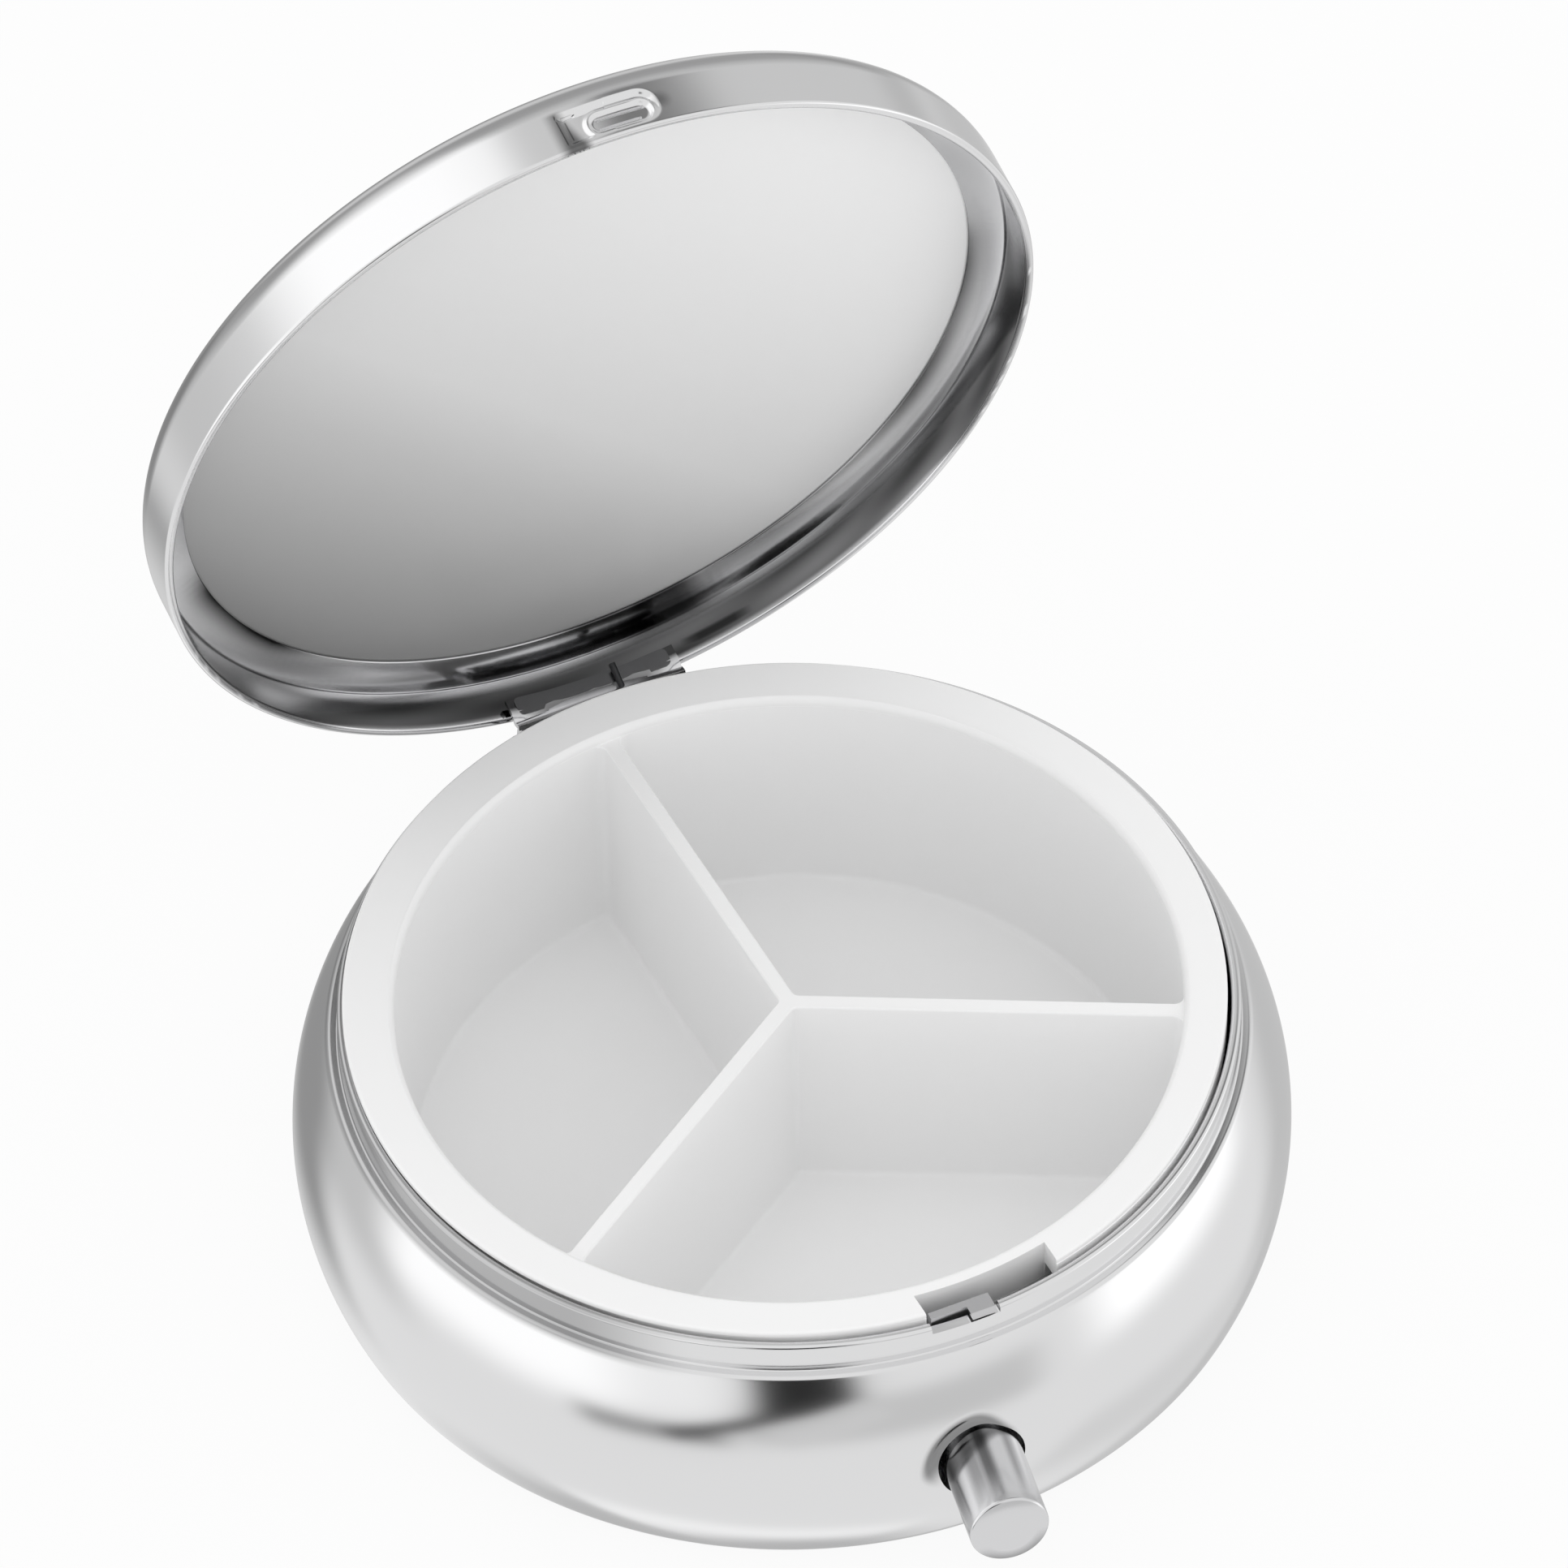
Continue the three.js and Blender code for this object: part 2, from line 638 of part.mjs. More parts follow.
// The torsion spring's middle line, as it lies with the lid open: a leg on the base's leaf,
// turns round the pin and a leg on the lid's leaf
function springLine() {
  const sweep = 360 * springTurns + 180 - springLidLegDegrees;
  const steps = Math.round((sweep / 360) * wireStepsPerTurn);
  const turns = Array.from({ length: steps + 1 }, (_, i) => {
    const angle = THREE.MathUtils.degToRad(180 - (sweep * i) / steps);
    return new THREE.Vector3(
      -springLength / 2 + (springLength * i) / steps,
      pivotY + springRadius * Math.cos(angle),
      pivotZ + springRadius * Math.sin(angle));
  });
  const [first, end] = [turns[0], turns[turns.length - 1]];
  const down = new THREE.Vector3(0, springBaseLegSlant, -springBaseLeg);
  const lidAngle = THREE.MathUtils.degToRad(springLidLegDegrees);
  const out = new THREE.Vector3(0, Math.sin(lidAngle), -Math.cos(lidAngle)).multiplyScalar(springLidLeg);
  return [
    first.clone().add(down),
    first.clone().addScaledVector(down, springWire / springBaseLeg),
    ...turns,
    end.clone().addScaledVector(out, springWire / springLidLeg),
    end.clone().add(out),
  ];
}

// The least gap between stretches of a wire that lie more than half a turn apart along it
function leastGap(points, radius) {
  let least = Infinity;
  const apart = Math.round(wireStepsPerTurn * springApart);
  for (let i = 0; i < points.length; i += 1) {
    for (let k = i + apart; k < points.length; k += 1) {
      least = Math.min(least, points[i].distanceTo(points[k]) - 2 * radius);
    }
  }
  return least;
}

// How far the button reaches from the latch's outer face, along its own axis
function buttonReach() {
  const skew = THREE.MathUtils.degToRad(buttonSkewDegrees);
  const tilt = THREE.MathUtils.degToRad(buttonTiltDegrees);
  return (baseRadius + buttonProud + plateOuter) / (Math.cos(skew) * Math.cos(tilt));
}

// Stands a profile of radius and distance on the latch's outer face, along the button's axis
function onButtonAxis(profile) {
  const skew = THREE.MathUtils.degToRad(buttonSkewDegrees);
  const tilt = THREE.MathUtils.degToRad(buttonTiltDegrees);
  const geometry = new THREE.LatheGeometry(profile, buttonSteps).rotateX(tilt).rotateZ(Math.PI - skew);
  return solid(geometry.translate(latchOffset, plateOuter, buttonHeight));
}

function alongButton(radius, from, to) {
  return onButtonAxis([at(0, from), at(radius, from), at(radius, to), at(0, to)]);
}

// The button: head behind the latch, thin neck through it, and the pin that is pressed
function makeButton() {
  const end = buttonReach();
  const headOuter = -(latchSheet + buttonHeadGap);
  return onButtonAxis([
    at(0, headOuter - buttonHead),
    at(buttonHeadRadius - buttonChamfer, headOuter - buttonHead),
    at(buttonHeadRadius, headOuter - buttonHead + buttonChamfer),
    at(buttonHeadRadius, headOuter),
    at(buttonNeckRadius, headOuter),
    at(buttonNeckRadius, buttonShoulderGap),
    at(buttonRadius, buttonShoulderGap),
    at(buttonRadius, end - buttonDome - buttonChamfer),
    at(buttonRadius - buttonChamfer, end - buttonDome),
    at(buttonRadius / 2, end - buttonDome / 4),
    at(0, end),
  ]);
}

// The latch: its side outline, extruded to the strip's width, and a nose at one side of its top
function makeLatch() {
  const foot = baseSheet + seatGap;
  const crank = buttonHeight + latchCrankAbove;
  const bend = latchSheet * Math.tan(Math.atan2(stemOuter - plateOuter, latchCrankHeight) / 2);
  const noseLow = neckTop - latchNoseBelow;
  const noseHigh = noseLow + latchNoseHeight;
  const nose = stemOuter - latchNoseReach;
  const strip = acrossX([
    at(plateOuter + latchFoot, foot),
    at(plateOuter, foot),
    at(plateOuter, crank),
    at(stemOuter, crank + latchCrankHeight),
    at(stemOuter, noseHigh),
    at(stemInner, noseHigh),
    at(stemInner, crank + latchCrankHeight - bend),
    at(plateInner, crank - bend),
    at(plateInner, foot + latchSheet),
    at(plateOuter + latchFoot, foot + latchSheet),
  ], latchWidth);
  const tongue = acrossX([
    at(stemInner, noseLow),
    at(stemInner, noseHigh),
    at(nose + latchNoseRamp, noseHigh),
    at(nose, noseLow + latchNoseTip),
    at(nose, noseLow),
  ], latchNoseWidth).translate((latchWidth - latchNoseWidth) / 2, 0, 0);
  const hole = alongButton(buttonNeckRadius + buttonNeckClearance, -latchSheet - seatGap, seatGap);
  return strip.add(tongue).translate(latchOffset, 0, 0).subtract(hole);
}

// The bow spring: a thin leaf that bears on the latch in its middle and on the tray at its ends
function makeBowSpring() {
  const low = buttonHeight + buttonHeadRadius + seatGap;
  const middle = plateInner + bowGap + bowThickness / 2;
  const end = -(leg(bowlRadiusAt(low), bowSpan / 2) + bowGap + bowThickness);
  const line = (x) => middle + (end - middle) * ((2 * x) / bowSpan) ** 2;
  const slope = (x) => ((end - middle) * 8 * x) / (bowSpan * bowSpan);
  const side = (offset) => Array.from({ length: bowSteps + 1 }, (_, i) => {
    const x = -bowSpan / 2 + (bowSpan * i) / bowSteps;
    const normal = at(-slope(x), 1).setLength(offset);
    return at(x + normal.x, line(x) + normal.y);
  });
  return raised([...side(-bowThickness / 2), ...side(bowThickness / 2).reverse()], low, low + bowHeight);
}

// The staple: an arch on the floor that the latch's foot slides through
function makeStaple() {
  const inner = latchWidth / 2 + stapleSideGap;
  const outer = inner + stapleSheet;
  const roof = baseSheet + seatGap + latchSheet + seatGap;
  const front = plateOuter + stapleBack;
  return alongY([
    at(-outer, baseSheet), at(-inner, baseSheet), at(-inner, roof), at(inner, roof),
    at(inner, baseSheet), at(outer, baseSheet), at(outer, roof + stapleSheet), at(-outer, roof + stapleSheet),
  ], front, front + stapleDepth).translate(latchOffset, 0, 0);
}

// The assembly
const pillBox = new THREE.Group();
pillBox.name = 'pill_box';

const tray = mesh('pill_tray', makeTray(), whitePlastic);
tray.rotation.z = THREE.MathUtils.degToRad(trayTurnDegrees);
const spring = springLine();
pillBox.add(
  mesh('base_shell', makeBaseShell(), satinMetal),
  tray,
  mesh('hinge_base_leaf', makeBaseLeaf(), satinMetal),
  mesh('hinge_pin', makeHingePin(), springSteel),
  mesh('hinge_spring', wire(spring, springWire / 2), springSteel),
  mesh('latch_hook', makeLatch(), brightMetal),
  mesh('latch_spring', makeBowSpring(), springSteel),
  mesh('latch_guide', makeStaple(), satinMetal),
  mesh('push_button', makeButton(), brightMetal),
);
console.log(`Least gap between the hinge spring's turns: ${leastGap(spring, springWire / 2).toFixed(3)} mm`);

// The lid turns about the pivot. Its pieces keep the places they have on the closed box
const lidHinge = new THREE.Group();
lidHinge.position.set(0, pivotY, pivotZ);
lidHinge.rotation.x = THREE.MathUtils.degToRad(-lidOpenDegrees);
const lid = new THREE.Group();
lid.position.set(0, -pivotY, -pivotZ);
lid.add(
  mesh('lid_shell', makeLidShell(), satinMetal),
  mesh('mirror_glass', makeMirror(), mirrorSilver),
  mesh('mirror_pad', makePad(), padGrey),
  mesh('mirror_bezel', makeBezel(), brightMetal),
  mesh('hinge_lid_leaf', makeLidLeaf(), brightMetal),
);
lidHinge.add(lid);
pillBox.add(lidHinge);

export default pillBox;
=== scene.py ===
# %% [markdown]
# # A round metal pill box
# The real box is two pressed metal shells: a bulged base and a shallow lid with a mirror.
# A white moulded tray with three compartments stands in the base. A sprung hinge holds the
# lid open, and a push button at the front draws a latch back. The CAD model is the frame,
# in metres. Each piece below is a finer form of one of its nodes, in the same place.

# %% Load the frame
import json
import math

import bmesh
import bpy
import numpy as np
from mathutils import Matrix, Vector
from mathutils.bvhtree import BVHTree
from mathutils.interpolate import poly_3d_calc


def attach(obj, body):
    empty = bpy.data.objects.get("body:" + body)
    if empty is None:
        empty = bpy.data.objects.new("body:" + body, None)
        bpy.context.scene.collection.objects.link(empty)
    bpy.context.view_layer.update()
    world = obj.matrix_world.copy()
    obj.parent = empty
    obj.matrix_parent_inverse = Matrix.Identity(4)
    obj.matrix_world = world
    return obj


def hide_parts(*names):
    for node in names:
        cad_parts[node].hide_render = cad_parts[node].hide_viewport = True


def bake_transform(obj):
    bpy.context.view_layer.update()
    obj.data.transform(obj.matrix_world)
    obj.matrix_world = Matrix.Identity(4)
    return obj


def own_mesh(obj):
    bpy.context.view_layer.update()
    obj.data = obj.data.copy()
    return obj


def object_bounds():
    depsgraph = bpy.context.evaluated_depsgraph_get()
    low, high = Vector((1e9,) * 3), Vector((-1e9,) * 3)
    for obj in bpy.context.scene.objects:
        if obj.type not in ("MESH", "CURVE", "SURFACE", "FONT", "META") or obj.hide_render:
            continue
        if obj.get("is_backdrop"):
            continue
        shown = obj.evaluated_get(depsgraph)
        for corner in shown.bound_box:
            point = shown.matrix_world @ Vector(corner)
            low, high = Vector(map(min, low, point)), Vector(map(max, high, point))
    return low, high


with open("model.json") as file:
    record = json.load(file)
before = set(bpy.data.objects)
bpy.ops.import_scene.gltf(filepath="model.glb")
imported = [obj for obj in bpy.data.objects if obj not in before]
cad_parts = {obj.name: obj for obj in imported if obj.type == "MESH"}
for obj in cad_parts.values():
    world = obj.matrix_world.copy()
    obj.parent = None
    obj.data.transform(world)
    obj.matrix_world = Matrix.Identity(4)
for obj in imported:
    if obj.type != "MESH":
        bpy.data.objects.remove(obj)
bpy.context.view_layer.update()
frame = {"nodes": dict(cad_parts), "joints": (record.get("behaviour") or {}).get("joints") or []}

MM = 0.001
print("nodes:", ", ".join(sorted(frame["nodes"])))

# %% [markdown]
# ## Sizes
# The sizes are in millimetres and become metres only when a mesh is made. Most repeat the
# CAD model's own sizes, because this file reads nothing but the frame. The finer ones, such
# as the tray's cap, are given where they are used. The frame gives the hinge's place.

# %% Sizes of the base, the tray and the lid
SHEET = 0.5
BULGE_Z, BULGE_R, SIDE_R = 5.5, 13.25, 11.75
FOOT_ROUND = 1.3
LEDGE_Z, SHOULDER_ROUND, NECK_FILLET, LIP_ROUND = 12.6, 0.3, 0.12, 0.2
FOOT_R = SIDE_R + math.sqrt((BULGE_R - FOOT_ROUND) ** 2 - (BULGE_Z - FOOT_ROUND) ** 2)
SHOULDER_Z = LEDGE_Z - SHOULDER_ROUND
SHOULDER_R = SIDE_R + math.sqrt((BULGE_R - SHOULDER_ROUND) ** 2 - (SHOULDER_Z - BULGE_Z) ** 2)
NECK_R = SHOULDER_R - 0.32
NECK_IN = NECK_R - SHEET
NECK_TOP = LEDGE_Z + 1.7

TRAY_TURN = 3.6
TRAY_LOW, TRAY_TOP = 0.8, NECK_TOP + 0.34
FLANGE_R = NECK_IN - 0.08
FLANGE_LOW = TRAY_TOP - 1.5
BOWL_R = FLANGE_R - 1.37
POCKET_R = BOWL_R - 0.9
POCKET_FLOOR = TRAY_LOW + 0.85
DIVIDER_TOP = TRAY_TOP - 0.55
DRAFT = 0.5

RIM_Z = LEDGE_Z + 0.15
LID_IN, LID_R = NECK_R + 0.5, NECK_R + 0.95
LID_SHEET, LID_SKIRT, LID_CORNER, LID_RISE = 0.45, 2.6, 2.0, 0.6
DOME_R = LID_R - LID_CORNER
DOME_FOOT = RIM_Z + LID_SKIRT + LID_CORNER
LID_OPEN = 83.0
LATCH_X, CATCH_X = -0.45, 0.35

hinge = next(joint for joint in frame["joints"] if joint["name"] == "lid_hinge")
PIVOT = [v / MM for v in hinge["pos_m"]]
OPEN = (Matrix.Translation(Vector(PIVOT) * MM)
        @ Matrix.Rotation(math.radians(-LID_OPEN), 4, "X")
        @ Matrix.Translation(-Vector(PIVOT) * MM))
print("base neck radius", round(NECK_R, 3), "lid radius", round(LID_R, 3), "pivot", PIVOT)


# %% [markdown]
# ## Profiles
# Most pieces of the box are round, so each starts as a profile: a line of points that give
# radius and height. It could be drawn by hand as a curve, but press tools and lathes leave
# arcs and straight lines, so it is joined from these.

# %% Points of a profile
def arc(centre_r, centre_z, radius, start, end, steps):
    angles = np.radians(np.linspace(start, end, steps + 1))
    return [(centre_r + radius * math.cos(a), centre_z + radius * math.sin(a)) for a in angles]


def line(start, end, steps):
    return [tuple(np.array(start) + (np.array(end) - np.array(start)) * t)
            for t in np.linspace(0, 1, steps + 1)]


def joined(*runs):
    points = []
    for point in (p for run in runs for p in run):
        if not points or math.dist(points[-1], point) > 1e-5:
            points.append(point)
    return points


def slope(across, up):
    return math.degrees(math.atan2(up, across))


print("profile helpers ready")


# %% [markdown]
# ## A lathe made of Geometry Nodes
# A lathe turns one profile about the vertical axis, which is the rule that most of these
# pieces follow. The tree lays out a grid of steps by profile points, sets each grid point
# to the profile point of its row, turned by the angle of its column, and merges the seam
# and the poles. A Screw modifier could turn a profile too, but its columns are even.
# Crowding draws them together at the front, where the shells have their finest detail.

# %% Small helpers for node trees
def add(tree, kind, inputs=None, **settings):
    node = tree.nodes.new(kind)
    for key, value in settings.items():
        setattr(node, key, value)
    for socket, value in (inputs or {}).items():
        if isinstance(value, bpy.types.NodeSocket):
            tree.links.new(value, node.inputs[socket])
        else:
            node.inputs[socket].default_value = value
    return node


def maths(tree, operation, first, second=0.0, third=None):
    inputs = {0: first, 1: second}
    if third is not None:
        inputs[2] = third
    return add(tree, "ShaderNodeMath", inputs, operation=operation).outputs[0]


def vector_maths(tree, operation, inputs):
    return add(tree, "ShaderNodeVectorMath", inputs, operation=operation).outputs[0]


def new_tree(name, sockets):
    tree = bpy.data.node_groups.new(name, "GeometryNodeTree")
    side = tree.interface
    side.new_socket("Geometry", in_out="INPUT", socket_type="NodeSocketGeometry")
    for title, kind in sockets:
        side.new_socket(title, in_out="INPUT", socket_type="NodeSocket" + kind)
    side.new_socket("Geometry", in_out="OUTPUT", socket_type="NodeSocketGeometry")
    return tree, tree.nodes.new("NodeGroupInput").outputs


def end_tree(tree, geometry, material):
    real = add(tree, "GeometryNodeRealizeInstances", {"Geometry": geometry})
    painted = add(tree, "GeometryNodeSetMaterial", {
        "Geometry": real.outputs[0], "Material": material})
    end = tree.nodes.new("NodeGroupOutput")
    tree.links.new(painted.outputs[0], end.inputs[0])


print("node helpers ready")


# %% The lathe's tree
def make_lathe():
    tree, given = new_tree("lathe", [
        ("Steps", "Int"), ("Crowding", "Float"), ("Material", "Material")])
    profile = given["Geometry"]
    size = add(tree, "GeometryNodeAttributeDomainSize", {"Geometry": profile}, component="MESH")
    count = size.outputs["Point Count"]
    rows, columns = maths(tree, "SUBTRACT", count, 1.0), maths(tree, "ADD", given["Steps"], 1.0)
    grid = add(tree, "GeometryNodeMeshGrid", {
        "Size X": given["Steps"], "Size Y": rows, "Vertices X": columns, "Vertices Y": count})
    place = add(tree, "GeometryNodeInputPosition").outputs[0]
    apart = add(tree, "ShaderNodeSeparateXYZ", {0: place})
    row = maths(tree, "MULTIPLY_ADD", rows, 0.5, apart.outputs["Y"])
    index = add(tree, "FunctionNodeFloatToInt", {0: row}, rounding_mode="ROUND").outputs[0]
    point = add(tree, "GeometryNodeSampleIndex", {
        "Geometry": profile, "Value": place, "Index": index}, data_type="FLOAT_VECTOR")
    share = maths(tree, "ADD", maths(tree, "DIVIDE", apart.outputs["X"], given["Steps"]), 0.5)
    turn = maths(tree, "MULTIPLY", share, 2 * math.pi)
    crowd = maths(tree, "MULTIPLY", maths(tree, "SINE", turn), given["Crowding"])
    angle = maths(tree, "SUBTRACT", maths(tree, "SUBTRACT", turn, crowd), math.pi / 2)
    turned = add(tree, "ShaderNodeVectorRotate", {
        "Vector": point.outputs[0], "Angle": angle}, rotation_type="Z_AXIS")
    shaped = add(tree, "GeometryNodeSetPosition", {
        "Geometry": grid.outputs["Mesh"], "Position": turned.outputs[0]})
    closed = add(tree, "GeometryNodeMergeByDistance", {
        "Geometry": shaped.outputs[0], "Distance": 1e-7})
    end_tree(tree, closed.outputs[0], given["Material"])
    return tree


LATHE = make_lathe()
print("lathe tree:", len(LATHE.nodes), "nodes")


# %% Turn a profile into a piece
def finished(piece):
    ready = piece.evaluated_get(bpy.context.evaluated_depsgraph_get())
    made = bpy.data.meshes.new_from_object(ready)
    made.name = piece.name
    piece.modifiers.clear()
    piece.data = made
    return piece


def grown(name, mesh, tree, values):
    piece = bpy.data.objects.new(name, mesh)
    bpy.context.scene.collection.objects.link(piece)
    modifier = piece.modifiers.new(tree.name, "NODES")
    modifier.node_group = tree
    for item in tree.interface.items_tree:
        if item.in_out == "INPUT" and item.name in values:
            modifier[item.identifier] = values[item.name]
    return finished(piece)


def shaded(piece, sharp=35):
    work = bmesh.new()
    work.from_mesh(piece.data)
    bmesh.ops.recalc_face_normals(work, faces=work.faces)
    for face in work.faces:
        face.smooth = True
    for edge in work.edges:
        edge.smooth = edge.calc_face_angle(0) < math.radians(sharp)
    work.to_mesh(piece.data)
    work.free()
    return piece


def lathed(name, profile, material, steps=256, crowding=0.0, close=True):
    points = list(profile) + ([profile[0]] if close and profile[0] != profile[-1] else [])
    edges = [(i, i + 1) for i in range(len(points) - 1)]
    mesh = bpy.data.meshes.new(name)
    mesh.from_pydata([(r * MM, 0, z * MM) for r, z in points], edges, [])
    values = {"Steps": steps, "Crowding": crowding, "Material": material}
    piece = shaded(grown(name, mesh, LATHE, values))
    print(f"{name}: {len(piece.data.polygons)} faces")
    return piece


def moved(piece, matrix):
    piece.data.transform(matrix)
    return piece


print("turning helpers ready")


# %% Read and mark the points of a piece
def places(mesh):
    points = np.empty(len(mesh.vertices) * 3)
    mesh.vertices.foreach_get("co", points)
    return points.reshape(-1, 3)


# Writes a rule's painted shade, which also stands for painted reflections, as a "shade" attribute
# on each point.
def paint_shade(piece, rule):
    x, y, z = (places(piece.data) / MM).T
    shade = piece.data.attributes.new("shade", "FLOAT", "POINT")
    shade.data.foreach_set("value", np.clip(rule(x, y, z), 0, 1).astype(np.float32))
    return piece


def smooth(value):
    value = np.clip(value, 0, 1)
    return value * value * (3 - 2 * value)


print("smooth step at a quarter:", float(smooth(0.25)))


# %% [markdown]
# ## Cutting
# Slots, holes and compartments are pierced and moulded on the real box. They could be built
# into the grid of faces, but with a boolean each cutter is a plain shape of its own. A
# boolean leaves slender faces beside a cut, which would show as ripples in the shine. So each
# cut piece takes its normals from the smooth blank wherever its faces still lie on the
# blank's surface.

# %% Cutters
def carved(piece, cutter, operation="DIFFERENCE"):
    material = next(one for one in piece.data.materials if one)
    modifier = piece.modifiers.new("carve", "BOOLEAN")
    modifier.object = cutter
    modifier.operation = operation
    modifier.solver = "MANIFOLD"
    finished(piece)
    piece.data.materials.clear()
    piece.data.materials.append(material)
    piece.data.polygons.foreach_set("material_index", [0] * len(piece.data.polygons))
    bpy.data.objects.remove(cutter)
    return piece


def kept(piece):
    mesh = piece.data
    corners = [tuple(p.vertices) for p in mesh.polygons]
    points = [v.co.copy() for v in mesh.vertices]
    normals = [v.normal.copy() for v in mesh.vertices]
    return BVHTree.FromPolygons(points, corners), corners, points, normals


def smooth_way(blank, place):
    tree, corners, points, normals = blank
    spot, _, number, _ = tree.find_nearest(place)
    ring = corners[number]
    shares = poly_3d_calc([points[v] for v in ring], spot)
    way = Vector((0, 0, 0))
    for share, v in zip(shares, ring):
        way += normals[v] * share
    return way.normalized()


def evened(piece, blank, sharp=35):
    shaded(piece, sharp)
    mesh = piece.data
    ways = [smooth_way(blank, v.co) for v in mesh.vertices]
    same_side, turned_away = math.cos(math.radians(sharp)), 0.2
    ready = [way.vector.copy() for way in mesh.corner_normals]
    for face in mesh.polygons:
        for loop in face.loop_indices:
            way = ways[mesh.loops[loop].vertex_index]
            if face.normal.dot(way) > same_side:
                ready[loop] = way
            elif face.normal.dot(ready[loop]) < turned_away:
                ready[loop] = face.normal.copy()
    mesh.normals_split_custom_set(ready)
    return piece


def lofted(name, rings, material=None):
    count = len(rings[0])
    faces = [list(range(count))[::-1], list(range((len(rings) - 1) * count, len(rings) * count))]
    for i in range(len(rings) - 1):
        for k in range(count):
            a, b = i * count + k, i * count + (k + 1) % count
            faces.append([a, b, b + count, a + count])
    mesh = bpy.data.meshes.new(name)
    mesh.from_pydata([tuple(v * MM for v in p) for ring in rings for p in ring], [], faces)
    if material:
        mesh.materials.append(material)
    piece = bpy.data.objects.new(name, mesh)
    bpy.context.scene.collection.objects.link(piece)
    return shaded(piece)


def rounded(left, right, low, high, corner, steps=5):
    return joined(arc(right - corner, low + corner, corner, 270, 360, steps),
                  arc(right - corner, high - corner, corner, 0, 90, steps),
                  arc(left + corner, high - corner, corner, 90, 180, steps),
                  arc(left + corner, low + corner, corner, 180, 270, steps))


def punched(name, outline, front, back):
    return lofted(name, [[(x, y, z) for x, z in outline] for y in (front, back)])


print("cutters ready")

# %% [markdown]
# ## Finishes
# The shells are satin metal plating: metal with a soft shine and a very fine grain. The inside
# of the lid, the mirror's ring and the button are polished. The tray is white moulded
# plastic with a faint unevenness. Each finish varies a little in roughness and height from
# Object coordinates, at the scale of the real grain. The metal finishes also carry painted
# shade and painted reflections: they darken by a "shade" attribute, where the metal lies in
# shade or would mirror something dark. A noise could place these by chance, but the places
# are known, so a rule writes the attribute on each piece.

# %% Metal and plastic
PATCHES_PER_METRE, BUMP_HEIGHT = 220.0, 0.02 * MM


def finish_of(name, colour, metallic, roughness, spread, grain, depth):
    material = bpy.data.materials.new(name)
    material.use_nodes = True
    tree = material.node_tree
    shader = tree.nodes["Principled BSDF"]
    shader.inputs["Base Color"].default_value = (*colour, 1)
    shader.inputs["Metallic"].default_value = metallic
    where = add(tree, "ShaderNodeTexCoord").outputs["Object"]
    soft = add(tree, "ShaderNodeTexNoise", {
        "Vector": where, "Scale": PATCHES_PER_METRE, "Detail": 3.0})
    rough = add(tree, "ShaderNodeMapRange", {
        "Value": soft.outputs[0], "To Min": roughness - spread, "To Max": roughness + spread})
    tree.links.new(rough.outputs[0], shader.inputs["Roughness"])
    fine = add(tree, "ShaderNodeTexNoise", {
        "Vector": where, "Scale": 1000.0 / grain, "Detail": 2.0})
    bump = add(tree, "ShaderNodeBump", {
        "Height": fine.outputs[0], "Strength": depth, "Distance": BUMP_HEIGHT})
    tree.links.new(bump.outputs[0], shader.inputs["Normal"])
    return material


def plated_with_painted_shade(name, colour, roughness, spread, grain, depth):
    material = finish_of(name, colour, 1, roughness, spread, grain, depth)
    tree = material.node_tree
    # The shade attribute darkens the base colour: painted shade and painted reflections.
    shade = add(tree, "ShaderNodeAttribute", attribute_name="shade").outputs["Fac"]
    shaded_colour = vector_maths(tree, "SCALE", {0: colour, "Scale": maths(tree, "SUBTRACT", 1.0, shade)})
    tree.links.new(shaded_colour, tree.nodes["Principled BSDF"].inputs["Base Color"])
    return material


satin_silver = plated_with_painted_shade("satin_silver", (0.86, 0.86, 0.865), 0.155, 0.015, 0.12, 0.0)
polished_silver = plated_with_painted_shade("polished_silver", (0.8, 0.8, 0.81), 0.11, 0.02, 0.4, 0.02)
ring_silver = plated_with_painted_shade("ring_silver", (0.82, 0.82, 0.83), 0.13, 0.02, 0.4, 0.02)
button_silver = plated_with_painted_shade("button_silver", (0.78, 0.78, 0.79), 0.16, 0.03, 0.2, 0.04)
spring_steel = plated_with_painted_shade("spring_steel_wire", (0.5, 0.5, 0.52), 0.3, 0.06, 0.15, 0.1)
white_plastic = finish_of("white_plastic", (0.945, 0.945, 0.945), 0, 0.42, 0.04, 0.5, 0.02)
pad_foam = finish_of("pad_foam", (0.15, 0.15, 0.155), 0, 0.9, 0.05, 0.1, 0.4)
print("finishes:", len(bpy.data.materials))

# %% [markdown]
# ## The base shell
# One sheet, drawn into a bowl: a rounded foot, a bulged side, a small shoulder and a ledge,
# and an upright neck that the lid closes round. A Solidify modifier could thicken one line,
# but the lip is rounder than the rest. So the profile goes up the outside, over the rounded
# lip and back down the inside.

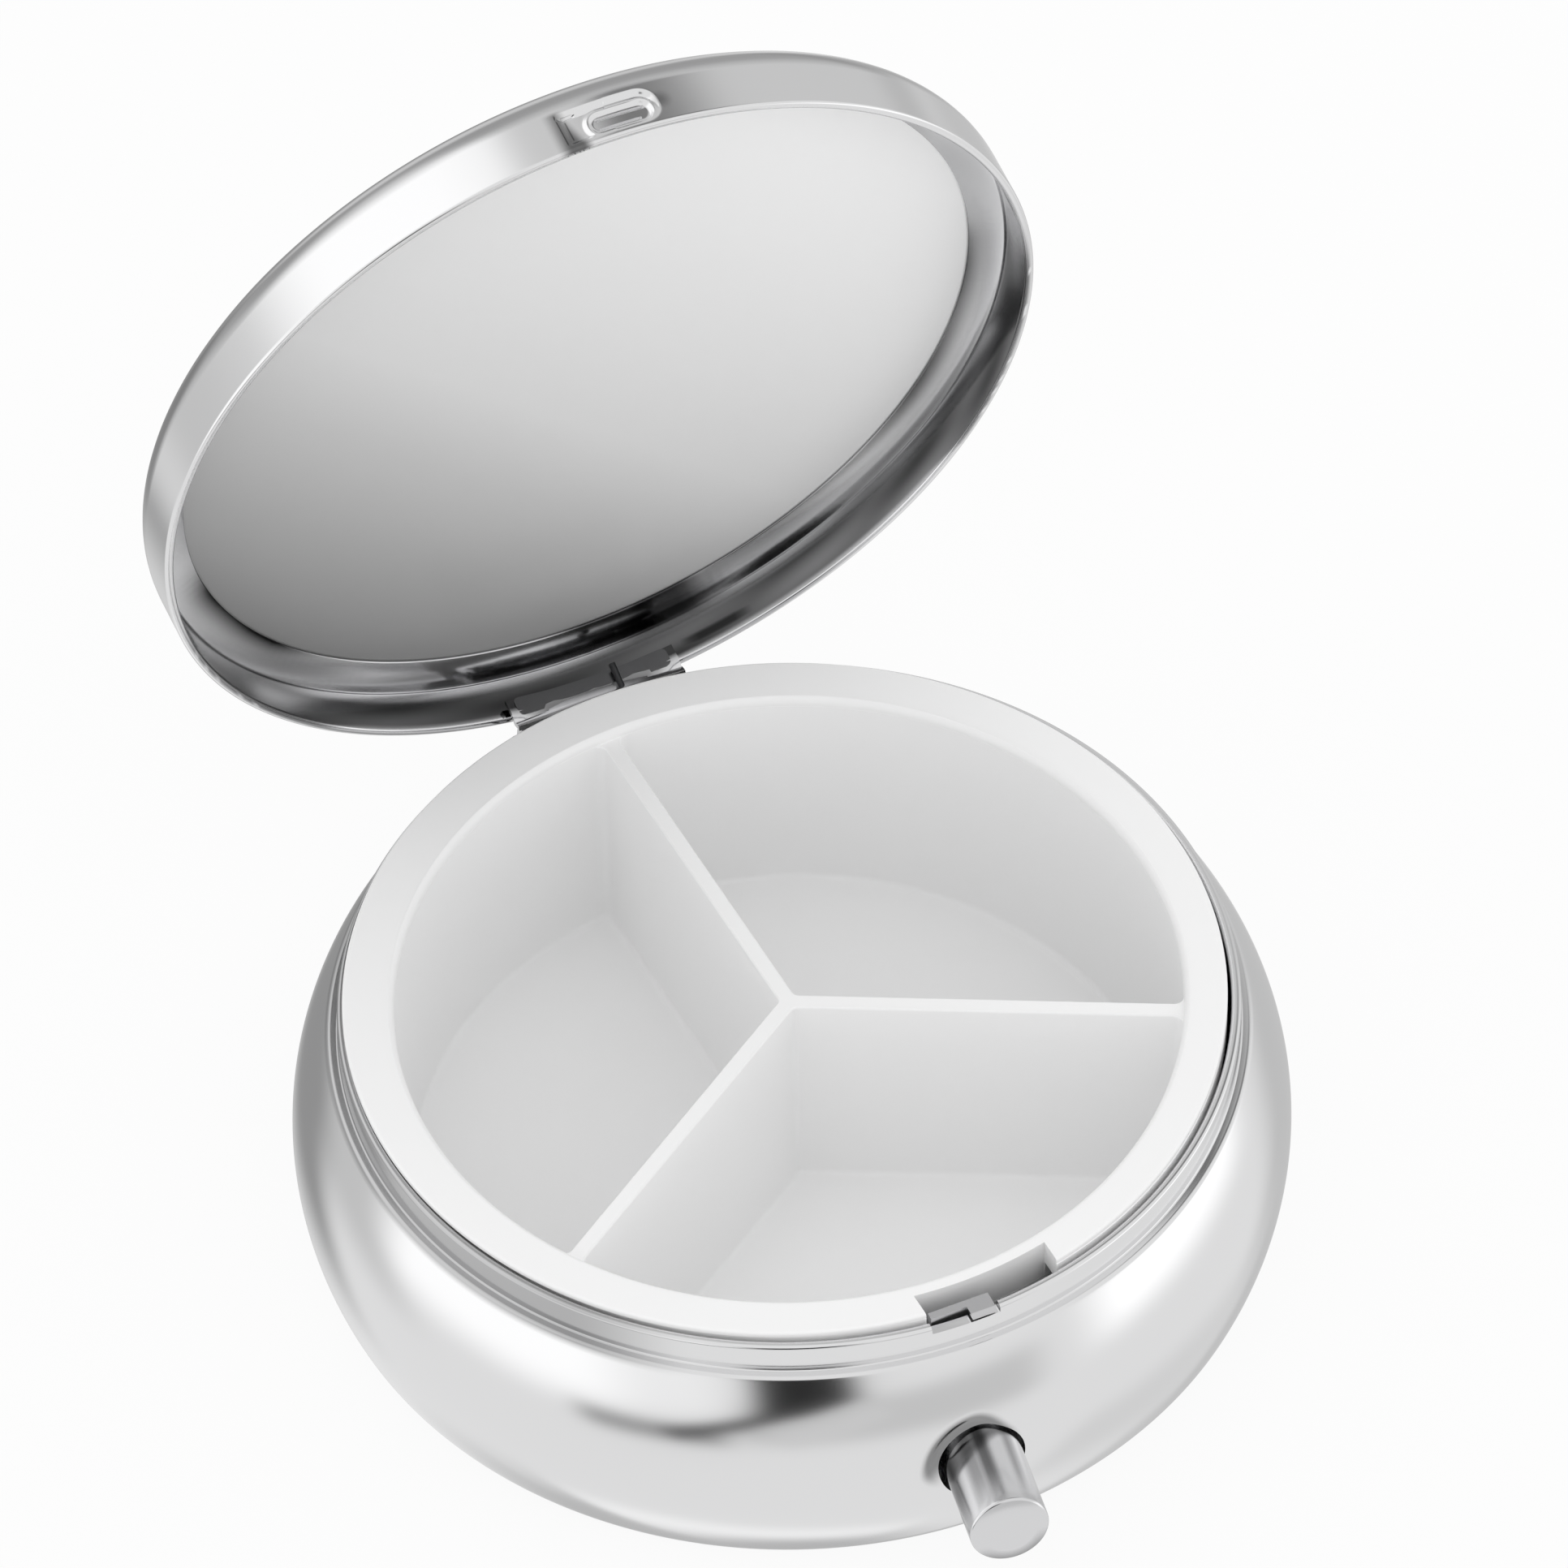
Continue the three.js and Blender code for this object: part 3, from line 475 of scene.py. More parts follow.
# %% Turn the base shell
foot_slope = slope(FOOT_R - SIDE_R, FOOT_ROUND - BULGE_Z)
shoulder_slope = slope(SHOULDER_R - SIDE_R, SHOULDER_Z - BULGE_Z)
inner_slope = math.degrees(math.asin((LEDGE_Z - SHEET - BULGE_Z) / (BULGE_R - SHEET)))
base_profile = joined(
    line((0, 0), (FOOT_R, 0), 6),
    arc(FOOT_R, FOOT_ROUND, FOOT_ROUND, -90, foot_slope, 12),
    arc(SIDE_R, BULGE_Z, BULGE_R, foot_slope, shoulder_slope, 90),
    arc(SHOULDER_R, SHOULDER_Z, SHOULDER_ROUND, shoulder_slope, 90, 6),
    arc(NECK_R + NECK_FILLET, LEDGE_Z + NECK_FILLET, NECK_FILLET, 270, 180, 4),
    arc(NECK_R - LIP_ROUND, NECK_TOP - LIP_ROUND, LIP_ROUND, 0, 90, 5),
    arc(NECK_IN + LIP_ROUND, NECK_TOP - LIP_ROUND, LIP_ROUND, 90, 180, 5),
    arc(NECK_R + NECK_FILLET, LEDGE_Z + NECK_FILLET, NECK_FILLET + SHEET, 180, 270, 4),
    arc(SIDE_R, BULGE_Z, BULGE_R - SHEET, inner_slope, foot_slope, 20),
    arc(FOOT_R, FOOT_ROUND, FOOT_ROUND - SHEET, foot_slope, -90, 6),
    line((FOOT_R, SHEET), (0, SHEET), 3),
)
base_sheet = lathed("base_sheet", base_profile, satin_silver, steps=448, crowding=0.8, close=False)

# %% [markdown]
# Three openings are pierced in it: the window for the hinge at the back, the slot for the
# latch in the neck, and the round hole for the button. The punch dished the sheet inward
# round the hole, most of all above it and to its left. The dish could be sculpted, but as a
# smooth push on the finished grid it moves both faces of the sheet together, so the sheet
# keeps its thickness.

# %% Press the sheet in round the button
FRONT_Y = -20


def pressed_in(piece, depth_at):
    mesh = piece.data
    points = places(mesh)
    radius = np.hypot(points[:, 0], points[:, 1])
    depth = depth_at(points / MM) * MM
    share = np.where(radius > MM, (radius - depth) / np.maximum(radius, 1e-9), 1)
    points[:, :2] *= share[:, None]
    mesh.vertices.foreach_set("co", points.ravel())
    mesh.update()


BUTTON_R, BUTTON_Z, BUTTON_FOOT = 2.0, 6.0, -23.1
BUTTON_SKEW, BUTTON_TILT = math.radians(9.3), math.radians(7)
button_way = Vector((-math.sin(BUTTON_SKEW) * math.cos(BUTTON_TILT),
                     -math.cos(BUTTON_SKEW) * math.cos(BUTTON_TILT), math.sin(BUTTON_TILT)))
button_axis = (Matrix.Translation(Vector((LATCH_X, BUTTON_FOOT, BUTTON_Z)) * MM)
               @ Vector((0, 0, 1)).rotation_difference(button_way).to_matrix().to_4x4())
at_wall = Vector((LATCH_X, BUTTON_FOOT, BUTTON_Z)) + button_way * 1.9
DISH_X, DISH_Z, DISH_R, DISH_SWELL, DISH_DEEP = at_wall.x - 0.2, at_wall.z + 0.2, 2.4, 0.65, 0.4


def dish_margin(x, z):
    across, up = x - DISH_X, z - DISH_Z
    edge = DISH_R + DISH_SWELL * smooth((up - across + 0.4) / 3.6)
    return edge - np.hypot(across, up), up * 0.9 - across * 0.35


def dish_depth(points):
    x, y, z = points.T
    return np.where(y < FRONT_Y, DISH_DEEP * smooth(dish_margin(x, z)[0]), 0)


# Painted shade and painted reflection: a dark crescent in the dish above and to the left of the
# hole, and on the left of the neck a painted shade that dims its bright reflected lines.
def dish_shade(x, y, z):
    margin, lean = dish_margin(x, z)
    dish = 0.66 * smooth((margin + 0.1) / 0.5) * smooth((lean + 0.5) / 1.4)
    neck = 0.4 * smooth((z - LEDGE_Z + 0.4) / 0.3) * smooth((-x - 13) / 5)
    return np.where(y < FRONT_Y, dish, neck)


pressed_in(base_sheet, dish_depth)
base_blank = kept(base_sheet)
print("button meets the wall at", [round(v, 2) for v in at_wall])


# %% Pierce the base shell
knuckle_r, knuckle_room, window_half = 1, 0.4, 5
window_low = PIVOT[2] - knuckle_r - knuckle_room
window_sides = rounded(-window_half, window_half, window_low, NECK_TOP + 1, 0.6)
carved(base_sheet, punched("window", window_sides, 20, 26))
slot_half, slot_low = 1.8, NECK_TOP - 0.4
slot_sides = rounded(LATCH_X - slot_half, LATCH_X + slot_half, slot_low, NECK_TOP + 1, 0.05)
carved(base_sheet, punched("slot", slot_sides, -24, -21))
hole_r, hole_shift = BUTTON_R + 0.24, Vector((-0.03, 0, -0.08))
hole = lathed("hole", [(0, 0), (hole_r, 0), (hole_r, 6), (0, 6)], None, steps=96, close=False)
carved(base_sheet, moved(hole, Matrix.Translation(hole_shift * MM) @ button_axis))
# Painted shade and painted reflection round the button hole and on the neck's left side.
paint_shade(evened(base_sheet, base_blank), dish_shade)
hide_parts("base_shell")
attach(base_sheet, "base")
print("base shell:", len(base_sheet.data.polygons), "faces")

# %% [markdown]
# ## The tray
# A moulded insert with a broad flange. Its three compartments could be drawn one by one, but
# they are one cutter turned twice by a third of a turn, which is a job for a small Geometry
# Nodes tree. The flange's cap lies on the neck's lip, a little further back and to the left,
# as in the photograph, and leaves a thin dark gap at the front. Its notch clears the latch.

# %% A tree that repeats a shape round the middle
def make_repeat():
    tree, given = new_tree("round_the_middle", [("Count", "Int"), ("Material", "Material")])
    points = add(tree, "GeometryNodePoints", {"Count": given["Count"]})
    number = add(tree, "GeometryNodeInputIndex").outputs[0]
    angle = maths(tree, "DIVIDE", maths(tree, "MULTIPLY", number, 2 * math.pi), given["Count"])
    turn = add(tree, "ShaderNodeCombineXYZ", {"Z": angle})
    copies = add(tree, "GeometryNodeInstanceOnPoints", {
        "Points": points.outputs[0], "Instance": given["Geometry"], "Rotation": turn.outputs[0]})
    end_tree(tree, copies.outputs[0], given["Material"])
    return tree


REPEAT = make_repeat()
print("repeat tree:", len(REPEAT.nodes), "nodes")


# %% The compartment's cutter
DIVIDER_HALF, DIVIDER_DRAFT, POCKET_CORNER, POCKET_APEX = 0.42, 0.2, 0.5, 0.45


def compartment(half, radius, corner, apex, height):
    offset = math.asin((half + corner) / (radius - corner))
    reach = 60 - math.degrees(offset)
    x = (radius - corner) * math.cos(math.radians(reach))
    y = (radius - corner) * math.sin(math.radians(reach))
    apex_x = (half + apex) / math.sin(math.radians(60))
    outline = joined(
        arc(0, 0, radius, -reach, reach, 60), arc(x, y, corner, reach, 150, 8),
        arc(apex_x, 0, apex, 150, 210, 8), arc(x, -y, corner, 210, 360 - reach, 8))[:-1]
    turn = math.radians(-90)
    c, s = math.cos(turn), math.sin(turn)
    return [(px * c - py * s, px * s + py * c, height) for px, py in outline]


def compartment_rings():
    rings = []
    for level, inset, ease in compartment_levels():
        draft = (DIVIDER_TOP - min(level, DIVIDER_TOP)) / (DIVIDER_TOP - POCKET_FLOOR)
        half = DIVIDER_HALF + DIVIDER_DRAFT * draft + inset - ease
        radius = POCKET_R - DRAFT * draft - inset
        rings.append(compartment(half, radius, POCKET_CORNER - inset, POCKET_APEX - inset, level))
    return rings


def compartment_levels():
    fillet, edge = 0.32, 0.14
    for angle in np.radians(np.linspace(0, 90, 9)):
        yield POCKET_FLOOR + fillet * (1 - math.cos(angle)), fillet * (1 - math.sin(angle)), 0
    for level in np.linspace(POCKET_FLOOR + 2, DIVIDER_TOP - edge, 6):
        yield level, 0, 0
    for angle in np.radians(np.linspace(15, 90, 6)):
        yield DIVIDER_TOP - edge + edge * math.sin(angle), 0, edge * (1 - math.cos(angle))
    yield DIVIDER_TOP + 1, 0, edge


one_pocket = lofted("pockets", compartment_rings())
pockets = grown("pockets", one_pocket.data, REPEAT, {"Count": 3, "Material": white_plastic})
bpy.data.objects.remove(one_pocket)
print("compartment cutters:", len(pockets.data.polygons), "faces")

# %% Turn and cut the tray
foot, bowl_foot, body_r = 0.6, BOWL_R - DRAFT, FLANGE_R - 0.12
cap_r, cap_low, cap_round = FLANGE_R + 0.1, NECK_TOP + 0.03, 0.15
cap_shift = Vector((-0.1, 0.25, 0)) * MM
tray_profile = joined(
    line((0, TRAY_LOW), (bowl_foot - foot, TRAY_LOW), 2),
    arc(bowl_foot - foot, TRAY_LOW + foot, foot, -90, 0, 6),
    [(BOWL_R, FLANGE_LOW), (body_r, FLANGE_LOW), (body_r, cap_low), (cap_r, cap_low)],
    arc(cap_r - cap_round, TRAY_TOP - cap_round, cap_round, 0, 90, 6),
    [(0, TRAY_TOP)])
mouth_r, mouth_round = POCKET_R + 0.01, 0.45
mouth_profile = joined(
    [(0, DIVIDER_TOP), (mouth_r, DIVIDER_TOP)],
    arc(mouth_r + mouth_round, TRAY_TOP - mouth_round, mouth_round, 180, 90, 8),
    [(mouth_r + mouth_round, TRAY_TOP + 1), (0, TRAY_TOP + 1)])
tray = lathed("tray_moulding", tray_profile, white_plastic, close=False)
for vertex in tray.data.vertices:
    if vertex.co.z > NECK_TOP * MM and math.hypot(vertex.co.x, vertex.co.y) > (body_r + 0.01) * MM:
        vertex.co += cap_shift
tray_blank = kept(tray)
carved(tray, lathed("mouth", mouth_profile, white_plastic, close=False))
carved(tray, pockets)
print("tray with its pockets:", len(tray.data.polygons), "faces")

# %% Cut the tray's notch over the latch
notch_in, notch_out, notch_half = BOWL_R - 0.05, FLANGE_R + 1, 3.6
notch = lathed("notch", [(notch_in, FLANGE_LOW - 1), (notch_out, FLANGE_LOW - 1),
                         (notch_out, TRAY_TOP + 1), (notch_in, TRAY_TOP + 1)], white_plastic)
notch_sides = rounded(-notch_half, notch_half, FLANGE_LOW - 2, TRAY_TOP + 2, 0.1)
carved(notch, punched("notch_sides", notch_sides, -25, -15), "INTERSECT")
carved(tray, notch)
evened(tray, tray_blank, 30)
moved(tray, Matrix.Rotation(math.radians(TRAY_TURN), 4, "Z"))
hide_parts("pill_tray")
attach(tray, "base")
print("tray:", len(tray.data.polygons), "faces")

# %% [markdown]
# ## The lid shell
# A shallow dome with a rounded corner and an upright skirt whose edge is the hem. It could
# be modelled open, in its place in the photograph, but its axis is only upright when the box
# is closed. So it is turned closed and then swung open about the hinge.

# %% Turn the lid shell
def dome(radius):
    return DOME_FOOT + LID_RISE * (1 - (radius / DOME_R) ** 2)


hem, dome_edge = 0.15, DOME_R * 0.96
corner_z = RIM_Z + LID_SKIRT
lid_profile = joined(
    [(r, dome(r)) for r in np.linspace(0, dome_edge, 9)],
    arc(DOME_R, corner_z, LID_CORNER, 90, 0, 14),
    line((LID_R, corner_z), (LID_R, RIM_Z + hem), 44),
    arc(LID_R - hem, RIM_Z + hem, hem, 0, -90, 4),
    arc(LID_IN + hem, RIM_Z + hem, hem, -90, -180, 4),
    line((LID_IN, RIM_Z + hem), (LID_IN, corner_z), 32),
    arc(DOME_R, corner_z, LID_CORNER - LID_SHEET, 0, 90, 10),
    [(r, dome(r) - LID_SHEET) for r in np.linspace(dome_edge, 0, 7)])
lid_sheet = lathed("lid_sheet", lid_profile, satin_silver, steps=512, crowding=0.85, close=False)

# %% [markdown]
# The catch is a place in the front of the skirt that a press pushed inward, with two slits
# that the latch's nose goes into. It is square at its left end and round at its right end,
# and a low bead runs round the slits. A displacement texture could press it, but the
# distance from a rounded box gives crisp sides, so it is pressed in as the dish is.

# %% Press the catch and pierce its slits
def round_box(x, z, centre, half, corner):
    across = np.abs(x - centre[0]) - half[0] + corner
    up = np.abs(z - centre[1]) - half[1] + corner
    outside = np.hypot(np.maximum(across, 0), np.maximum(up, 0))
    return outside + np.minimum(np.maximum(across, up), 0) - corner


CATCH_DEEP, CREASE_DEEP, BEAD_WIDE = 0.25, 0.12, 0.26
CATCH_MIDDLE, CATCH_HALF = (CATCH_X, 1.33), (2.55, 1.05)
BEAD_MIDDLE, BEAD_HALF, BEAD_CORNER = (0.85, 1.1), (1.72, 0.72), 0.7


def catch_depth(points):
    x, y, z = points.T
    height = z - RIM_Z
    corner = np.where(x > CATCH_X, 0.95, 0.15)
    soft = np.where(x > CATCH_X, 0.3, 0.42)
    pad = smooth(-round_box(x, height, CATCH_MIDDLE, CATCH_HALF, corner) / soft)
    from_ring = np.abs(round_box(x, height, BEAD_MIDDLE, BEAD_HALF, BEAD_CORNER))
    bead = smooth(1 - from_ring / BEAD_WIDE) * (0.12 + 0.1 * smooth(x - 1.4))
    crease = smooth(1 - np.abs(height - 2.08) / 0.12)
    crease *= smooth((-1.1 - x) / 0.3) * smooth((x + 2.2) / 0.2)
    return np.where(y < FRONT_Y, pad * CATCH_DEEP - bead * pad + crease * CREASE_DEEP, 0)


pressed_in(lid_sheet, catch_depth)
lid_blank = kept(lid_sheet)
SLITS = ((0.72, 2.2, 0.7, 0.17), (0.88, 2.6, 1.28, 0.2))
for middle, width, above, tall in SLITS:
    low, half = RIM_Z + above, width / 2
    outline = rounded(middle - half, middle + half, low, low + tall, 0.3 * tall)
    carved(lid_sheet, punched("slit", outline, -24, -21.5))
evened(lid_sheet, lid_blank)
print("catch:", len(SLITS), "slits,", len(lid_sheet.data.polygons), "faces in the whole sheet")


# %% [markdown]
# The inner wall of the real lid is polished, and its bright and nearly black places are
# reflections, painted here as shade. The painted shade is a rule of the turn about the axis,
# from the hinge, and of the height above the hem, both as the lid lies closed. The outside
# gets a little painted shade at its rounded edge, and a painted dark reflection and a dark
# spot at the catch. The inside also gets the polished finish.

# %% Rules for the lid's shade
INSIDE_R = LID_R - 0.3


def inside_turn(x, y):
    turn = np.degrees(np.arctan2(x, y))
    return turn, smooth((turn + 80) / 12) * smooth((106 - turn) / 14)


def reflection_streaks(turn, height):
    broad = np.sin(np.radians(5 * turn) + 2.4 * height)
    narrow = np.sin(np.radians(13 * turn) - 3.1 * height)
    return 0.1 * broad + 0.07 * narrow


# Painted reflections on the polished inner wall: dark bands with finer bands in them, lighter near
# the top in the middle, and a dark patch.
def inside_shade(x, y, height):
    turn, shaded_span = inside_turn(x, y)
    far = smooth((height - 1.7) / 0.5) * smooth((50 - np.abs(turn)) / 20)
    bright = far * smooth((turn + 42) / 12) * smooth((4 - turn) / 8)
    dark_reflection = smooth(1.3 - np.abs(turn - 18) / 8) * smooth(1.2 - np.abs(height - 0.8) / 0.6)
    dark_hem = np.maximum(smooth((-32 - turn) / 10), smooth((turn - 52) / 10))
    wall = smooth((height - 0.12 + 0.32 * dark_hem) / 0.3) * (0.72 + reflection_streaks(turn, height))
    wall *= 1 - 0.6 * far - 0.3 * bright
    return np.where(height < LID_SKIRT + 1.5, shaded_span * np.maximum(wall, 0.93 * dark_reflection), 0)


# Painted shade: a darker band along the lid's rounded edge, darker towards the front.
def edge_shade(x, y, height):
    turn = np.abs(np.degrees(np.arctan2(x, y)))
    level = 0.2 + 0.25 * smooth((turn - 100) / 40)
    near_corner = smooth((np.hypot(x, y) - LID_R + 1.4) / 0.6)
    return level * smooth((height - LID_SKIRT + 0.1) / 0.7) * near_corner


# Painted reflection and shade on the catch: a dark band on its left slope, where it would mirror
# something dark, and a dark spot at its right end.
def catch_shade(x, y, height):
    reflected_dark = smooth((x + 2.9) / 0.8) * smooth((-0.9 - x - 0.3 * height) / 0.6)
    reflected_dark *= smooth((2.6 - height) / 0.3)
    spot = smooth(1 - np.hypot(x - 3.05, height - 1.4) / 0.7)
    return np.where(y < FRONT_Y, np.maximum(0.8 * reflected_dark * (1 - 0.1 * height), 0.4 * spot), 0)


def lid_shade(x, y, z):
    height = z - RIM_Z
    outside = np.maximum(edge_shade(x, y, height), catch_shade(x, y, height))
    return np.where(np.hypot(x, y) < INSIDE_R, inside_shade(x, y, height), outside)


print("inside of the lid: within", round(INSIDE_R, 2), "mm of the axis")

# %% Polish the lid's inside and swing it open
paint_shade(lid_sheet, lid_shade)
lid_sheet.data.materials.append(polished_silver)
for face in lid_sheet.data.polygons:
    middle = face.center / MM
    radius = math.hypot(middle.x, middle.y)
    outside = radius > INSIDE_R or middle.z > dome(radius) - 0.2 or face.normal.z > 0.5
    face.material_index = 0 if outside else 1
moved(lid_sheet, OPEN)
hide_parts("lid_shell")
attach(lid_sheet, "lid")
print("lid shell:", len(lid_sheet.data.polygons), "faces")

# %% [markdown]
# ## The mirror and its ring
# A round of silvered glass with a narrow bevelled edge is stuck in the lid with a pad. A
# thin pressed ring frames it: a flat lip on the glass and a raised bead beside the skirt.
# Clear glass over silver could mirror the room, but the photograph's mirror shows one soft
# grey slope. So the silver has little gloss, and that slope is a painted reflection in its
# colour, along x + z, to look the same from every side.

# %% The mirror's finish
def make_mirror_finish():
    material = bpy.data.materials.new("silvered_glass")
    material.use_nodes = True
    tree = material.node_tree
    shader = tree.nodes["Principled BSDF"]
    shader.inputs["Roughness"].default_value = 0.25
    shader.inputs["Specular IOR Level"].default_value = 0.15
    where = add(tree, "ShaderNodeTexCoord").outputs["Object"]
    apart = add(tree, "ShaderNodeSeparateXYZ", {0: where})
    along = maths(tree, "ADD", apart.outputs["X"], apart.outputs["Z"])
    share = add(tree, "ShaderNodeMapRange", {"Value": along, "From Min": 0.003, "From Max": 0.063})
    ramp = add(tree, "ShaderNodeValToRGB", {"Fac": share.outputs[0]})
    # The ramp is a painted reflection: a soft grey slope from dark to light along x + z.
    stops = ((0.0, 0.24), (0.2, 0.42), (0.35, 0.58), (0.47, 0.74), (0.62, 0.82), (0.95, 0.97))
    marks = ramp.color_ramp.elements
    for number, (place, level) in enumerate(stops):
        mark = marks[number] if number < 2 else marks.new(place)
        mark.position = place
        mark.color = (level, level, level, 1)
    tree.links.new(ramp.outputs[0], shader.inputs["Base Color"])
    return material


silvered_glass = make_mirror_finish()
print("mirror's finish:", len(silvered_glass.node_tree.nodes), "nodes")

# %% Turn the mirror and its pad
MIRROR_R, MIRROR_Z, MIRROR_BACK, BEVEL = LID_IN - 1.45, 15.965, 16.565, 0.15
glass_profile = [(0, MIRROR_Z), (MIRROR_R - BEVEL, MIRROR_Z), (MIRROR_R, MIRROR_Z + BEVEL),
                 (MIRROR_R, MIRROR_BACK), (0, MIRROR_BACK)]
glass = lathed("mirror_disc", glass_profile, silvered_glass, close=False)
PAD_R, PAD_LOW, PAD_TOP = 16, 16.765, 16.965
pad_profile = [(0, PAD_LOW), (PAD_R - 0.1, PAD_LOW), (PAD_R, PAD_LOW + 0.035),
               (PAD_R, PAD_TOP - 0.035), (PAD_R - 0.1, PAD_TOP), (0, PAD_TOP)]
pad = lathed("mirror_backing", pad_profile, pad_foam, steps=96, close=False)

# %% Turn the ring and put the three in the lid
ring_out, ring_back, ring_in = LID_IN + 0.05, MIRROR_Z - 0.01, MIRROR_R - 0.3
crest, crest_round, lip_round, ring_wall = MIRROR_Z - 0.75, 0.13, 0.08, 0.2
ring_profile = joined(
    arc(ring_in + 0.06, ring_back - 0.1, lip_round, 110, 250, 5),
    arc(ring_out - crest_round, crest + crest_round, crest_round, -110, 0, 12),
    [(ring_out, crest + 0.65), (ring_out - ring_wall, crest + 0.65)],
    [(ring_out - ring_wall, crest + 0.4), (ring_in + 0.3, ring_back)])
ring = lathed("mirror_ring", ring_profile, ring_silver)
ring_blank, clear = kept(ring), 2.85
catch_room = rounded(CATCH_X - clear, CATCH_X + clear, 14, 17, 0.1)
carved(ring, punched("catch_room", catch_room, -24, -(LID_IN - 0.55)))
evened(ring, ring_blank)


# Painted reflections on the polished ring: a darker flat lip with finer bands, a lighter band and a
# dark patch.
def ring_shade(x, y, z):
    radius = np.hypot(x, y)
    turn, shaded_span = inside_turn(x, y)
    flat = smooth((LID_IN - 0.45 - radius) / 0.3)
    dark_reflection = smooth(1.3 - np.abs(turn - 13) / 9)
    bright = smooth((turn + 40) / 12) * smooth((2 - turn) / 8)
    painted_dark = 0.66 + 0.28 * smooth((-38 - turn) / 14) - 0.5 * bright + 1.3 * reflection_streaks(turn, radius * 2)
    return shaded_span * np.maximum(flat * painted_dark, 0.93 * dark_reflection)


paint_shade(ring, ring_shade)
for piece, node, slot in ((glass, "mirror_glass", "mirror"), (pad, "mirror_pad", "adhesive_pad"),
                          (ring, "mirror_bezel", "bezel_metal")):
    moved(piece, OPEN)
    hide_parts(node)
    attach(piece, "lid")

# %% [markdown]
# ## The button
# A turned pin with a small chamfer and a slightly domed end. Behind the wall a thin neck
# goes through the latch to a peened head. A bevelled cylinder has no such neck, so the pin is
# turned from a profile. The dark lines down its side are painted reflections: each has its
# turn about the pin, its half width and its depth. The lower side of its end gets painted
# shade. The pin is left out of reflections, because the photograph's dish shows plain grey
# and no picture of it.

# %% Turn the button
button_end = (25 + 4.95 + BUTTON_FOOT) / (math.cos(BUTTON_SKEW) * math.cos(BUTTON_TILT))
chamfer, bulge, head_r, thin_r, back_z = 0.16, 0.14, 1.4, 0.8, 0.56
chamfer_z = button_end - bulge - chamfer
button_profile = joined(
    [(0, -1.25), (head_r - 0.16, -1.25), (head_r, -1.09), (head_r, -0.85), (thin_r, -0.85)],
    [(thin_r, back_z), (BUTTON_R - 0.07, back_z)],
    line((BUTTON_R, back_z + 0.07), (BUTTON_R, chamfer_z), 12),
    arc(BUTTON_R - chamfer, chamfer_z, chamfer, 0, 75, 6),
    [(r, button_end - bulge * drop) for r, drop in ((1.3, 0.42), (0.8, 0.16), (0.4, 0.04), (0, 0))])
button = lathed("button_pin", button_profile, button_silver, steps=96, close=False)

# %% Paint reflections and shade on the button and put it in its hole
PAINTED_REFLECTION_LINES = {
    "left": (160, 27, 0.86), "beside the top": (109, 14, 0.5), "top": (89, 13, 0.84),
    "upper right": (45, 13, 0.5), "lower right": (-20, 25, 0.7), "underside": (-100, 30, 0.6)}


# Painted reflections: dark lines down the side of the pin that fade towards its end, and painted
# shade on the lower side of the end's chamfer.
def button_shade(x, y, z):
    radius, turn = np.hypot(x, y), np.degrees(np.arctan2(y, x))
    painted_dark = np.zeros(len(x))
    for middle, half, depth in PAINTED_REFLECTION_LINES.values():
        away = np.abs((turn - middle + 180) % 360 - 180)
        painted_dark = np.maximum(painted_dark, depth * smooth(1.25 - away / half))
    side = np.where((radius > BUTTON_R - 0.02) & (z > 0.6), 1, 0)
    along = z / button_end
    fade = 1.05 - 0.25 * along - 0.55 * smooth((along - 0.62) / 0.36)
    rim = 0.5 * smooth((radius - 1.4) / 0.5) * (z > button_end - 0.35) * smooth((-y - 0.5) / 1.2)
    return np.maximum(painted_dark * side * fade, rim)


paint_shade(button, button_shade)
moved(button, button_axis)
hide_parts("push_button")
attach(button, "button")
button.visible_glossy = False
print("button:", len(PAINTED_REFLECTION_LINES), "worn lines, end at", round(button_end, 2), "mm")

# %% [markdown]
# ## The hinge's spring
# The torsion spring is a round wire wound about the pin: a leg on the base's leaf, three
# turns and a leg on the lid's leaf. A Spiral curve gives the turns alone, so this tree sets
# out points along the whole wire by their number and gives the line the wire's thickness.
# Its right part gets painted shade.

